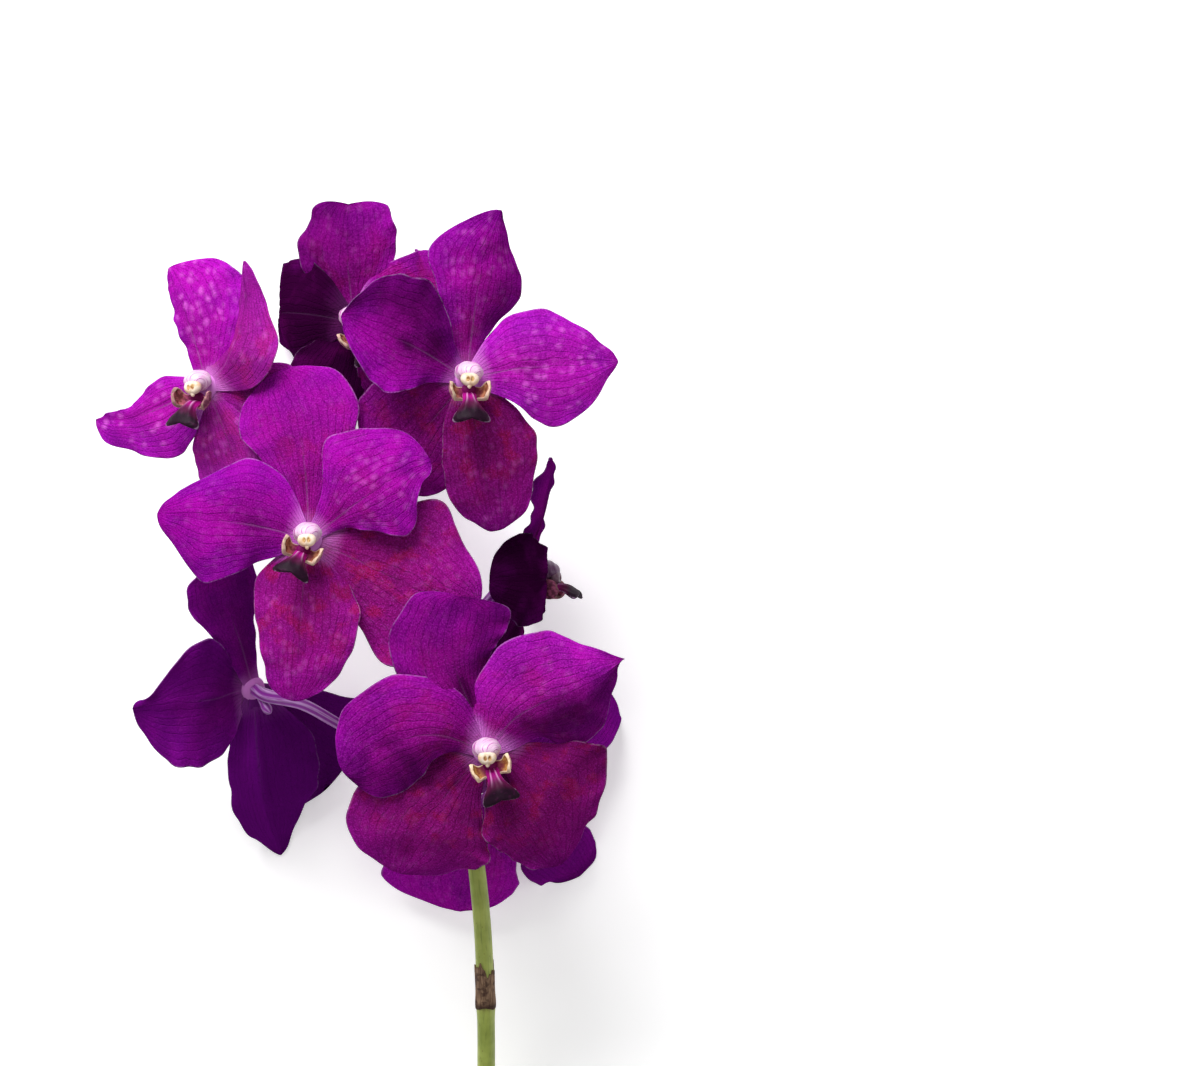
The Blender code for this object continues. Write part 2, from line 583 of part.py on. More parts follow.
def main():
    for old in list(bpy.data.objects):
        bpy.data.objects.remove(old)
    looks = {name: make_material(name, *look) for name, look in MATERIALS.items()}
    make_stem("stem", looks["stem"])
    for name, bloom in BLOOMS.items():
        make_tepals(name + "_tepals", bloom, looks["tepals"])
        make_column(name + "_column", bloom, looks["column"])
        make_lip(name + "_lip", bloom, looks["lip"])
        make_stalk(name + "_stalk", bloom, looks["stalk"])


main()
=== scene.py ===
"""A cut spray of a large-flowered vanda orchid, lying on a pale table and seen from above.

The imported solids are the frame. Each of them is replaced by a fine surface of the same form: the
same midribs, widths and folds, with nerves, ruffled margins, ribs and keels added. Sizes are in
millimetres until a mesh is made.
"""

import math
from collections import namedtuple

import bpy
import numpy as np
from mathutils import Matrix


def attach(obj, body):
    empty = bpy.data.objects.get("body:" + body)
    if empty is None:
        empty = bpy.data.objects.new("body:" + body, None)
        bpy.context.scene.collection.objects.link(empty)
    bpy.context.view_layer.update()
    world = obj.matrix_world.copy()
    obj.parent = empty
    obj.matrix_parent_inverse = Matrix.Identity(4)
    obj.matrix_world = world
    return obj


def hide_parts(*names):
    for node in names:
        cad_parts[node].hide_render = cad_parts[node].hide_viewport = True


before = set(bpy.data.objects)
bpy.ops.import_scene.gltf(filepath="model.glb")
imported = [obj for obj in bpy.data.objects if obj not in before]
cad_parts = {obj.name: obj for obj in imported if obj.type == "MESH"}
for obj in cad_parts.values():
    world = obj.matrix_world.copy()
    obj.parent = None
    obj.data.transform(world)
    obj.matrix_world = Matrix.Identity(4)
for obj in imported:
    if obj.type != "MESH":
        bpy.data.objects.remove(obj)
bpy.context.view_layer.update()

MM = 0.001

# The whole spray
STEM_ROUTE = ((40, -169, 3.05), (39.5, -140, 12), (39.5, -110, 24), (37.5, -56, 41), (31, -14, 49),
              (22, 24, 51), (13, 65, 47), (9.5, 97, 36), (5.5, 116, 25))
STEM_RADII = (3.1, 2.95, 2.9, 2.85, 2.7, 2.6, 2.4, 2.1, 1.3)
STEM_SHEATH_JOINT = 0.272
STEM_JOINT_SWELL = 0.35
STEM_JOINT_REACH = 0.012
STEM_MARKS_LENGTH = 340.0
STEM_RINGS = 500
STEM_SIDES = 40

# The blades
BLADE_THICKNESS = 0.75
RIM_THICKNESS = 0.3
LOWEST = 0.02
BLADE_ROWS = 72
BLADE_COLUMNS = 44
BLADE_CROWDING = 1.6
BLADE_GROWN = 0.32
WAVE_TURN = 0.37
BULGE_HEIGHT = 0.28
GROOVE_DEPTH = 0.7
NERVES_EACH_SIDE = 5.5
NERVE_HEIGHT = 0.11
CLAW_HALF_WIDTH = 2.3
CLAW_LENGTH = 6.0
PETAL_LIFT = 0.55
TABLE_HEIGHT = 0.4
TABLE_BLEND = 2.5

# The middle of a bloom
HUB_RADIUS = 4.2
HUB_HALF_DEPTH = 2.1
GAP = 0.35
COLUMN_ROUTE = ((0, 1.0, HUB_HALF_DEPTH + GAP), (0, 1.5, 5.1), (0, 1.0, 7.9), (0, -0.7, 10.0))
COLUMN_BREADTH = 1.3
LIP_ROOT = (0, -4.1, 4.7)
LIP_ROOT_RADII = (2.5, 2.0, 1.9)
LIP_THICKNESS = 1.3
TONGUE_START = (0, -5.2, 4.9)
TONGUE_LENGTH = 12.5
TONGUE_BEND = 16
TONGUE_HALVES = (2.3, 3.2, 5.4, 6.6, 4.9)
TONGUE_CUP = -42
TONGUE_NOTCH = 1.7
SIDE_LOBE_ROUTE = ((1.5, -5.3, 4.9), (4.3, -5.4, 6.1), (6.0, -4.6, 8.3), (6.1, -3.7, 10.7))
SIDE_LOBE_HALVES = (2.3, 2.9, 3.2, 3.0, 2.1)
SIDE_LOBE_CUP = 30
LOBE_ROWS = 28
LOBE_COLUMNS = 20
COLUMN_RINGS = 30
COLUMN_SIDES = 40
COLUMN_SWELL = (2.6, 3.4, 3.5, 3.0, 2.2, 0.0)
CAP_MIDDLE = (0, -0.8, 8.9)
CAP_RADII = (3.0, 2.4, 2.1)
CAP_PITS = ((-0.30, -0.05, 1), (0.30, -0.05, 1))
PIT_WIDTH = 0.34
PIT_STRETCH = (1.5, 0.75, 1)
PIT_DEPTH = 0.28
BEAK_MIDDLE = (0, -2.7, 9.2)
BEAK_RADII = (0.8, 1.3, 0.8)
SHEATH_LOW = 0.268
SHEATH_HIGH = 0.312
SHEATH_RINGS = 40
SHEATH_SIDES = 72
CUT_AXES = ((1, 0, 0), (0, 0, 1), (0, -1, 0))

# The flower stalks
STALK_RADII = (1.5, 1.35, 1.5, 1.9, 2.1)
STALK_RINGS = 90
STALK_SIDES = 36
STALK_LEAD = 7.0
STALK_FOOT = 3.0
BRACT_HALVES = (3.2, 3.6, 3.2, 2.2, 1.0)
BRACT_CUP = -70
SPUR_ROUTE = ((0, -0.8, -4.5), (0, -3.6, -7.0), (0, -5.6, -11.0))

# The table, the light and the camera
TABLE_HALF = 3000.0
TABLE_GLOW = 0.35
WORLD_GLOW = 0.27
PHOTO_WIDTH = 1200
MM_PER_PIXEL = 0.32
CAMERA_MIDDLE = (76.8, 61.4)
SHARP_HEIGHT = 95.0
CAMERA_DISTANCE = 3000.0
SENSOR_WIDTH = 36.0

# A tepal: its midrib as (x, y, rise) from the bloom's middle, where rise is above the bloom's own
# plane; half-widths at five places between base and tip; the cup in degrees for the left and the
# right half; wave as (height, number of waves, start in turns); the fold in degrees, like the cup;
# and how far the outline reaches past the tip on both sides of a notch. A bloom's tepals are its
# two petals and then its three sepals.
Tepal = namedtuple("Tepal", "midrib left right cup wave fold notch",
                   defaults=((-12, -12), (0.9, 2.2, 0.1), (0, 0), 0))
Bloom = namedtuple("Bloom", "middle faces up tongue_drop stalk_place tepals lip_turn stalk",
                   defaults=(0, ()))
PETALS = 2
OVAL = (7, 12, 14, 12, 7)

BLOOMS = {
    "centre_bloom": Bloom(
        middle=(-16.3, 59.5, 94), faces=(-0.06, 0.06, 1), up=(-0.05, 1, 0), lip_turn=-24,
        tongue_drop=36, stalk_place=0.66, stalk=((10, 51, 68),), tepals=(
            Tepal(((-16, 4, 3), (-32, 6, 3), (-49, 8, -3)), (11, 17.5, 20, 12, 6),
                (18, 21, 15.5, 10, 5), (-20, -16), (1.2, 1.7, 0.35)),
            Tepal(((12, 9, 4), (25, 18, 5), (39, 25, 2)), (10, 22, 20, 16.5, 11),
                (4.5, 14.5, 17, 8, 4), (-12, -18), (1.3, 2.1, 0)),
            Tepal(((-1, 18, 0), (-4, 38, 1), (-10, 54, -4)), (7, 14, 19, 18, 12),
                (7, 15, 20, 19, 12), (-16, -16)),
            Tepal(((-2, -17, 1), (-3, -34, 1), (-5, -52, -5)), (15, 19, 16.5, 12.5, 6.5),
                (15.5, 15, 13.5, 11, 8), (-14, -22)),
            Tepal(((18, -8, -2), (36, -17, -5), (54, -25, -10)), (13, 28, 25, 18, 11),
                (12, 20, 26, 20, 11), (-12, -10), (1.4, 1.6, 0.6)),
        )),
    "right_bloom": Bloom(
        middle=(34.2, 111, 93), faces=(0.12, 0.05, 1), up=(0.06, 1, 0), lip_turn=4, tongue_drop=44,
        stalk_place=0.84, stalk=((20, 98, 62),), tepals=(
            Tepal(((-13, 8, 4), (-26, 14, 6), (-40, 20, 3)), (9, 17, 15, 9.5, 4),
                (9, 20, 20, 17.5, 8.5), (14, 10), (1.2, 2.6, 0.2)),
            Tepal(((16, 3, 3), (32, 4, 3), (48.5, 5.5, -3)), (15.5, 19, 16, 10.5, 4.5),
                (10.5, 19, 18, 11.3, 4.5), (-18, -24), (1.1, 2, 0.45)),
            Tepal(((2, 18, 0), (5, 36, 1), (11, 54, -3)), (9, 13, 18, 12, 5.5),
                (5, 13.5, 12.3, 6.3, 2.3), (-16, -14)),
            Tepal(((-9, -11, -4), (-18, -22, -9), (-27, -33, -13)), (8, 15, 18, 16, 10),
                (15, 22, 22, 16, 9), (-10, -10)),
            Tepal(((3, -16, 0), (6, -32, -2), (9, -49, -8)), (15, 19.5, 17, 14, 10),
                (10, 12.5, 13, 10.7, 4.5), (-22, -14)),
        )),
    "front_bloom": Bloom(
        middle=(40.3, -8.3, 97), faces=(0.06, -0.12, 1), up=(-0.03, 1, 0), lip_turn=16,
        tongue_drop=52, stalk_place=0.47, stalk=((34, -14, 70),), tepals=(
            Tepal(((-14, 5, 4), (-29, 3, 5), (-45.5, -7, 0)), (5.5, 13, 16, 15.5, 12),
                (14, 20, 19, 15, 7.5), (-12, -16), (1.3, 2, 0.5)),
            Tepal(((9.5, 10.5, 5), (23, 17.5, 8), (37, 24, 8), (44.5, 29.5, 5)),
                (17.5, 23, 19.5, 12.5, 4.5), (14, 22.5, 21.5, 9, 2.2), (-16, -8), (1.2, 2.2, 0.1),
                (0, -30)),
            Tepal(((-4, 12, 1), (-10, 28, 2), (-8.5, 49.5, -1)), (6.5, 16, 20.5, 17, 12),
                (5, 10.5, 15.5, 18, 15), (-16, -14), (1.4, 2.4, 0.3), notch=4),
            Tepal(((-10, -11, 1), (-20, -23, 0), (-28, -39.5, -7)), (10, 22, 25, 20.5, 12.5),
                (12, 21, 24, 22, 14), (-14, -20), (1.4, 2.2, 0.7)),
            Tepal(((8, -11, 3), (16, -23, 3), (23.5, -37, -3)), (22, 32, 25, 16, 8),
                (8, 16.5, 14.5, 12, 6.5), (-18, -12), (1.5, 2.8, 0.2)),
        )),
    "left_bloom": Bloom(
        middle=(-49.9, 108.5, 80), faces=(-0.5, 0.06, 1), up=(-0.12, 1, 0), lip_turn=-12,
        tongue_drop=38, stalk_place=0.75, stalk=((-6, 84, 56), (-26, 96, 63)), tepals=(
            Tepal(((-11, -5, 3), (-23, -10, 3), (-36.5, -10.5, -2)), (14, 16, 10.5, 8.5, 5),
                (9, 7, 4, 3, 1.5), (-20, -12)),
            Tepal(((8, 10, 5), (12.3, 24, 9), (12.8, 40, 12)), (9, 13, 13, 9, 5),
                (12, 15, 9, 5.5, 3), (-10, -20), (0.8, 1.8, 0.2), (-52, 0)),
            Tepal(((-3, 12, 0), (-7.5, 25, 1), (-12.5, 38.5, -2)), (4, 4.6, 4, 2.8, 1.2),
                (12, 20, 22, 18.5, 10.5), (-14, -18)),
            Tepal(((5, -12, -1), (9, -24, -4), (12, -38, -8)), (6, 12, 14, 12, 7),
                (9, 14, 15, 13, 8), (-12, -14)),
            Tepal(((11, 0, -3), (22, -3, -8), (33, -8, -13)), (5, 9, 11, 9, 5), (9, 14, 15, 11, 5),
                (-10, -10)),
        )),
    "top_bloom": Bloom(
        middle=(-3.4, 130.2, 43), faces=(-0.05, 0, 1), up=(0.08, 1, 0), lip_turn=34, tongue_drop=40,
        stalk_place=0.985, tepals=(
            Tepal(((-11.5, 2, 1), (-20, 3, -4), (-24.5, 3, -19), (-25.5, 3, -42.6)),
                (16, 20, 18, 13, 7), (17, 18, 15, 11, 6), (-38, -30), (1.6, 3.4, 0.1)),
            Tepal(((9, 4.5, 1), (19.5, 6, -4), (29, 7, -20), (32, 7, -42)), (14, 18, 17, 13, 7),
                (6, 11, 14, 12, 7), (-14, -14), (1.6, 2.4, 0.4)),
            Tepal(((-1.4, 13, 0), (-2.1, 26, 1), (-1.8, 38.4, -2)), (12, 18, 15.5, 13, 8.5),
                (11, 16, 15.5, 13.5, 9), (-14, -18), (1, 2.2, 0.2), (-16, 0), 8),
            Tepal(((-4, -11.5, 1), (-8, -21, 2), (-12.3, -31, 1)), (6, 11, 12, 9, 5),
                (9, 14, 14, 11, 6)),
            Tepal(((6, -9, 1), (11.5, -17, 3), (16.7, -28, 4)), (6, 10, 11, 8, 4), (5, 9, 10, 8, 4)),
        )),
    "lower_left_bloom": Bloom(
        middle=(-36.5, 10.6, 34), faces=(-0.5, 0.25, -0.83), up=(-0.3, 1, 0), tongue_drop=25,
        stalk_place=0.46, stalk=((14, -13, 55), (-6, -1.5, 56), (-19, 5.5, 53)), tepals=(
            Tepal(((-11, -2.6, 2.4), (-24, -4, 3), (-38.5, -6, -3)), (14, 21, 14, 5, 1.5),
                (18, 22, 21.5, 18, 9.5), (-10, -12), (1, 2, 0.2)),
            Tepal(((9, -6, -3), (19, -15, -8), (30, -25, -14)), (10, 18, 22, 21, 15),
                (8, 13, 17, 18, 13)),
            Tepal(((-3.8, 14, 2.6), (-8, 28, 3), (-12, 42, 4)), (6, 11, 15.5, 15.5, 10),
                (5, 8, 12, 12, 8), (40, 10)),
            Tepal(((1, -18, 2), (3, -36, -1), (8, -55.5, -14)), (9, 12, 12, 9, 5),
                (19, 21, 18.5, 11, 4), (8, -10), fold=(50, 0)),
            Tepal(((0, -10, -8), (4, -20, -19), (9, -31, -28)), (6, 9, 10, 8, 5), (6, 10, 11, 9, 5)),
        )),
    "side_bloom": Bloom(
        middle=(53.7, 48, 47), faces=(0.96, -0.04, 0.2), up=(0, 1, 0), tongue_drop=0,
        stalk_place=0.585, stalk=((36, 33, 55), (43.5, 43, 49)), tepals=(
            Tepal(((4.5, -1, 10), (3.5, -2, 21), (-12.5, -2, 31)), (8, 13, 15, 12, 7),
                (8, 13, 16, 14, 9), (-16, -16), (1.4, 2.4, 0.2)),
            Tepal(((2, 1, -11), (2, 0, -29), (-2.5, -3, -50)), (8, 13, 15, 12, 7),
                (8, 13, 15, 12, 7)),
            Tepal(((2.5, 13, 0), (5.5, 26, 1), (7.5, 38, 3)), (8, 12, 13, 11, 6),
                (8, 12, 13, 11, 6), (-14, -14)),
            Tepal(((-2, -10, 5), (-6, -20, 9), (-12.5, -31, 10)), OVAL, OVAL, (-14, -14)),
            Tepal(((-1, -9, -8), (-5, -20, -17), (-9.5, -31, -27)), OVAL, OVAL, (-14, -14)),
        )),
    "back_bloom": Bloom(
        middle=(44.8, -20.8, 30), faces=(0, 0, -1), up=(-0.3, 1, 0), tongue_drop=20,
        stalk_place=0.53, tepals=(
            Tepal(((-13, 3, -1), (-26, 4, -12), (-37, 2, -28)), OVAL, OVAL, (12, 12)),
            Tepal(((14, 10, -1), (27, 20, -13), (34.5, 30, -31)), (7, 10, 11, 9, 6),
                (8, 14, 16, 13, 8), (12, 12)),
            Tepal(((-2, 13, -1), (-5, 26, -9), (-8, 38, -22)), OVAL, OVAL, (12, 12)),
            Tepal(((-5, -12, 0), (-11, -25, -8), (-14.5, -42, -20)), (9, 18, 25, 27, 21),
                (9, 15, 18, 17, 11), (12, 12)),
            Tepal(((9, -10, -1), (17.5, -20.5, -13), (25.5, -31, -34)), (7, 12, 14, 12, 8),
                (7, 11, 12, 11, 8), (12, 12)),
        )),
}

# How each bloom's tepals are tinted, petals first and then sepals: how red and dusty, from 0 to 1,
# how dark, from the tepal's own deeper tone together with painted shade where it lies in shadow,
# or below 0 how much painted light brightens it, how strongly spotted, and how much painted shade
# darkens the left half more than the right one, from -1 to 1.
TINTS = {
    "centre_bloom": ((0.05, 0.24, 0.2, 0.15), (0.2, 0.08, 0.5, -0.2), (0.35, 0.1, 0.2, 0.15),
        (0.7, 0.08, 0.35, -0.15), (0.8, 0.06, 0.25, 0.1)),
    "right_bloom": ((0.05, 0.46, 0.15, -0.45), (0, -0.12, 0.8, 0), (0.2, 0.36, 0.55, -0.45),
        (0.6, 0.3, 0.1, 0), (0.85, 0.36, 0.5, -0.15)),
    "front_bloom": ((0.3, 0.3, 0.1, 0.55), (0.25, -0.05, 0.3, -0.75), (0.3, 0.48, 0.1, -0.3),
        (0.85, 0.34, 0.2, 0.1), (0.9, 0.46, 0.15, 0.1)),
    "left_bloom": ((0.05, -0.08, 1, 0), (0.6, -0.2, 0.5, 0.25), (0.1, -0.05, 1, 0),
        (0.6, -0.25, 0.75, 0), (0.55, -0.1, 0.4, 0.2)),
    "top_bloom": ((0.2, 0.95, 0.05, 0.1), (0.35, 0.1, 0.1, 0), (0.3, 0.44, 0.4, 0.3),
        (0.5, 1, 0.1, 0), (0.5, 0.8, 0.1, 0)),
    "lower_left_bloom": ((0, 0.52, 0.1, 0.1), (0.1, 0.8, 0.1, 0), (0, 0.32, 0.1, 0.35),
        (0.3, 0.84, 0.05, -1), (0.3, 0.92, 0.05, 0)),
    "side_bloom": ((0, 1, 0.1, 0), (0.1, 0.6, 0.1, 0), (0, 0.75, 0.1, 0), (0.3, 0.95, 0.05, 0),
        (0.3, 0.9, 0.05, 0)),
    "back_bloom": ((0.2, 0.42, 0.1, 0), (0.05, 0.45, 0.1, 0), (0.3, 0.3, 0.1, 0), (0.2, 0, 0.15, 0),
        (0.25, 0.48, 0.1, 0)),
}
TINT_MARKS = ("red", "dark", "spotted", "shaded")

# How dark the lip's side lobes and the column of each bloom are, from golden cream, 0, to maroon, 1:
# for the side lobes partly their own maroon and partly painted shade, for the column painted shade.
TONES_AND_SHADE = {
    "centre_bloom": (0.35, 0.0), "right_bloom": (0.40, 0.0), "front_bloom": (0.0, 0.0),
    "left_bloom": (0.80, 0.0), "top_bloom": (0.50, 0.1), "lower_left_bloom": (0.50, 0.1),
    "side_bloom": (0.95, 0.9), "back_bloom": (0.50, 0.1),
}

Shape = namedtuple("Shape", "points faces marks")


def unit(vector):
    """A vector, or each row of an array of them, at length 1."""
    vector = np.asarray(vector, float)
    return vector / np.maximum(np.linalg.norm(vector, axis=-1, keepdims=True), 1e-9)


def smooth(places, values, at):
    """The natural cubic spline through values at places, read at the places in at."""
    places = np.asarray(places, float)
    values = np.asarray(values, float)
    flat = values.reshape(len(values), -1)
    step = np.diff(places)
    slope = np.diff(flat, axis=0) / step[:, None]
    matrix = np.eye(len(places))
    target = np.zeros_like(flat)
    for i in range(1, len(places) - 1):
        matrix[i, i - 1:i + 2] = step[i - 1], 2 * (step[i - 1] + step[i]), step[i]
        target[i] = 6 * (slope[i] - slope[i - 1])
    bend = np.linalg.solve(matrix, target)
    at = np.clip(np.asarray(at, float), places[0], places[-1])
    i = np.clip(np.searchsorted(places, at, side="right") - 1, 0, len(step) - 1)
    b = ((at - places[i]) / step[i])[..., None]
    a = 1 - b
    h = step[i][..., None]
    read = (a * flat[i] + b * flat[i + 1]
            + ((a ** 3 - a) * bend[i] + (b ** 3 - b) * bend[i + 1]) * h * h / 6)
    return read.reshape(at.shape + values.shape[1:])


def ease(x):
    """0 up to x = 0, 1 from x = 1, with a smooth rise between."""
    x = np.clip(x, 0, 1)
    return x * x * (3 - 2 * x)


def spaced(points):
    """The distance run along a list of points, from 0 at the first to 1 at the last."""
    run = np.concatenate([[0], np.cumsum(np.linalg.norm(np.diff(points, axis=0), axis=1))])
    return run / run[-1]


def bell(x, width):
    """exp(-(x / width)^2): 1 at x = 0, and near 0 past twice the width."""
    return np.exp(-(np.asarray(x) / width) ** 2)


def bloom_axes(bloom):
    """The bloom's own right, up and forward directions, at right angles to each other."""
    forward = unit(bloom.faces)
    right = unit(np.cross(bloom.up, forward))
    return np.array([right, np.cross(forward, right), forward])


def to_world(bloom, points, turn=0.0):
    """Points in the bloom's own right, up and forward, turned by some degrees, in the frame."""
    c, s = math.cos(math.radians(turn)), math.sin(math.radians(turn))
    right, up, forward = bloom_axes(bloom)
    axes = np.array([c * right + s * up, c * up - s * right, forward])
    return np.asarray(bloom.middle) + np.asarray(points, float) @ axes


def midrib_of(bloom, tepal, lift):
    """The midrib's points in the frame: the middle, the claw's end in the bloom's plane, the rest."""
    faces = unit(bloom.faces)
    given = np.array(tepal.midrib, float)
    if abs(faces[2]) > 0.5:
        given[:, 2] -= (given[:, :2] @ faces[:2]) / faces[2]
    along = given[0] - (given[0] @ faces) * faces
    claw = CLAW_LENGTH * unit(along) + lift * faces
    return np.asarray(bloom.middle) + np.vstack([lift * faces, claw, given])


def blade_surface(midrib, faces, tepal, t, v):
    """The middle surface of a blade at t, base 0 to tip 1, and v, right edge -1 to left edge 1.

    The point runs along the midrib by 1 - (1 - t) ^ BLADE_CROWDING. From there it goes out along
    a circular arc whose turn at the edge is the cup, after the whole half has been turned by the
    fold. A sine wave along the blade is added, which grows with the cube of v, with a finer one
    near the margin. What would sink into the table is laid flat on it. Also returned: the
    distances run along and across, in millimetres.
    """
    run = 1 - (1 - t) ** BLADE_CROWDING
    places = spaced(midrib)
    spine = smooth(places, midrib, run)
    ahead = smooth(places, midrib, np.minimum(run + 0.004, 1))
    behind = smooth(places, midrib, np.maximum(run - 0.004, 0))
    along = unit(ahead - behind)
    toward = np.broadcast_to(faces, along.shape)
    toward = unit(toward - np.sum(toward * along, axis=-1, keepdims=True) * along)
    left = np.cross(toward, along)
    stations = np.linspace(0, 1, 7)
    on_left = v >= 0
    halves = [np.maximum(smooth(stations, (CLAW_HALF_WIDTH,) + side + (0,), t), 0)
              for side in (tepal.left, tepal.right)]
    width = np.where(on_left, halves[0], halves[1])
    out = np.abs(v)
    grown = ease(run / BLADE_GROWN)
    size, count, start = tepal.wave
    phase = 2 * np.pi * (count * run + start + np.where(on_left, 0.0, WAVE_TURN))
    cup = np.radians(np.where(on_left, *tepal.cup)) * grown + 1e-4
    fold = np.radians(np.where(on_left, *tepal.fold)) * grown
    width = width * (1 + 0.014 * np.sin(2.1 * phase + 0.7) * grown)
    across = width / cup * np.sin(cup * out)
    height = width / cup * (1 - np.cos(cup * out))
    ruffle = np.sin(phase) * out ** 3 + 0.5 * np.sin(2.9 * phase + 1.3) * out ** 6
    height = height + size * grown * ruffle * ease((1 - t) * 5)
    aside = across * np.cos(fold) - height * np.sin(fold)
    raised = across * np.sin(fold) + height * np.cos(fold)
    widest = max(max(tepal.left), max(tepal.right))
    forward = tepal.notch * out ** 1.5 * width / widest * ease(run / 0.9)
    point = (spine + np.where(on_left, 1.0, -1.0)[..., None] * left * aside[..., None]
             + toward * raised[..., None] + along * forward[..., None])
    above = point[..., 2] - TABLE_HEIGHT
    blended = np.clip(above + TABLE_BLEND, 0, 2 * TABLE_BLEND) ** 2 / (4 * TABLE_BLEND)
    point[..., 2] = TABLE_HEIGHT + np.where(above > TABLE_BLEND, above, blended)
    length = np.linalg.norm(np.diff(midrib, axis=0), axis=1).sum()
    return point, run * length, width * v


def bulges(along, across, seed):
    """Gentle swells of a soft blade: three crossed sine waves, 10 to 30 mm long."""
    swell = np.sin(along * 0.21 + across * 0.12 + seed)
    swell += 0.7 * np.sin(across * 0.33 - along * 0.11 + 2 * seed)
    return BULGE_HEIGHT * (swell + 0.6 * np.sin(along * 0.46 + across * 0.27 + 3 * seed))


def leaf_grid(rows, columns):
    """t from base 0 to tip 1 and v from one margin, -1, to the other, 1, closer at the margins."""
    t, v = np.meshgrid(np.linspace(0, 1, rows + 1), np.linspace(-1, 1, columns + 1), indexing="ij")
    return t, np.sign(v) * (1 - (1 - np.abs(v)) ** 1.25)


def leaf_shape(middle, front, back, marks):
    """A closed leaf on a grid of middle points, whose last row is one point, the tip.

    front and back are how far its two faces lie from the middle, along the surface's normal.
    """
    rows, columns = middle.shape[0] - 1, middle.shape[1] - 1
    count = rows * (columns + 1)
    normal = unit(np.cross(np.gradient(middle, axis=0), np.gradient(middle, axis=1)))
    normal[-1] = unit(normal[-2].mean(axis=0))

    def both_faces(first, second):
        return np.concatenate([np.concatenate([grid[:-1].reshape(count, *grid.shape[2:]),
                                               grid[-1, :1]]) for grid in (first, second)])

    points = both_faces(middle + normal * front[..., None], middle + normal * back[..., None])
    points[:, 2] = np.maximum(points[:, 2], LOWEST)
    index = np.minimum(np.arange((rows + 1) * (columns + 1)).reshape(rows + 1, columns + 1), count)
    quads = np.stack([index[:-2, :-1], index[1:-1, :-1], index[1:-1, 1:], index[:-2, 1:]], -1)
    quads = quads.reshape(-1, 4)
    tips = np.stack([index[-2, :-1], np.full(columns, count), index[-2, 1:]], -1)
    other = count + 1
    rim = np.concatenate([index[:, 0], index[rows - 1::-1, columns], index[0, columns - 1:0:-1]])
    after = np.roll(rim, -1)
    edges = np.stack([after, rim, rim + other, after + other], -1)
    faces = [quads, tips, quads[:, ::-1] + other, tips[:, ::-1] + other, edges]
    marks = {name: both_faces(values, values) for name, values in marks.items()}
    marks["reverse"] = np.repeat([0.0, 1.0], other)
    return Shape(points, [face for group in faces for face in group.tolist()], marks)


def tepal_shape(bloom, tepal, lift, seed, tint):
    """One petal or sepal: the blade's middle surface with relief, thinner towards its margin.

    The relief is a groove over the midrib, low ridges along lines of constant v, which fan out as
    the nerves do, and the bulges.
    """
    t, v = leaf_grid(BLADE_ROWS, BLADE_COLUMNS)
    middle, along, across = blade_surface(midrib_of(bloom, tepal, lift), unit(bloom.faces), tepal,
                                          t, v)
    open_part = ease(t / 0.12) * ease((1 - t) / 0.06)
    relief = bulges(along, across, seed) * open_part * ease(along / 20)
    # Where painted shade is laid: strongest in the low places between the bulges and along the midrib
    # near the base.
    hollow = -relief - 0.1 + 0.9 * bell(across, 2.4) * ease(t / 0.2) * (1 - t)
    relief -= GROOVE_DEPTH * bell(across, 1.5) * ease(t / 0.2) * (1 - 0.7 * t)
    nerves = np.cos(2 * np.pi * NERVES_EACH_SIDE * v)
    relief += NERVE_HEIGHT * nerves * open_part * (1 - np.abs(v))
    half = RIM_THICKNESS / 2 + (BLADE_THICKNESS - RIM_THICKNESS) / 2 * (1 - v ** 4) * (1 - 0.4 * t)
    marks = {"flat": np.stack([across, along, np.full_like(t, 7.3 * seed)], -1), "fan": v,
             "run": 1 - (1 - t) ** BLADE_CROWDING, "hollow": hollow}
    marks.update((name, np.full_like(t, value)) for name, value in zip(TINT_MARKS, tint))
    return leaf_shape(middle, relief + half, relief - half, marks)


def tube_shape(route, radius, at, sides):
    """A closed tube along a smooth route: radius(t, angle) is carried round it, ring by ring.

    at holds the places of the rings, or a place for each point of each ring. Each end closes in
    a pole.
    """
    route = np.asarray(route, float)
    angle = np.linspace(0, 2 * np.pi, sides, endpoint=False)
    at = np.asarray(at, float)
    t = np.repeat(at[:, None], sides, axis=1) if at.ndim == 1 else at
    turn = np.broadcast_to(angle, t.shape)
    places = spaced(route)
    spine = smooth(places, route, t)
    along = unit(smooth(places, route, np.minimum(t + 0.003, 1))
                 - smooth(places, route, np.maximum(t - 0.003, 0)))
    side = unit(np.cross(along, (0.31, -0.2, 0.93)))
    ring = np.cos(turn)[..., None] * side + np.sin(turn)[..., None] * np.cross(along, side)
    points = spine + radius(t, turn)[..., None] * ring
    points = np.vstack([points.reshape(-1, 3), spine[0].mean(axis=0), spine[-1].mean(axis=0)])
    return Shape(points, wrap_faces(len(t), sides),
                 {"run": np.concatenate([t.ravel(), [t[0, 0], t[-1, 0]]]),
                  "turn": np.concatenate([turn.ravel(), [0, 0]])})


def wrap_faces(rings, sides):
    """Quads between neighbouring rings of points, and a fan of triangles to a pole at each end."""
    index = np.arange(rings * sides).reshape(rings, sides)
    after = np.roll(index, -1, axis=1)
    quads = np.stack([index[:-1], after[:-1], after[1:], index[1:]], -1).reshape(-1, 4)
    low = np.stack([after[0], index[0], np.full(sides, rings * sides)], -1)
    high = np.stack([index[-1], after[-1], np.full(sides, rings * sides + 1)], -1)
    return quads.tolist() + low.tolist() + high.tolist()


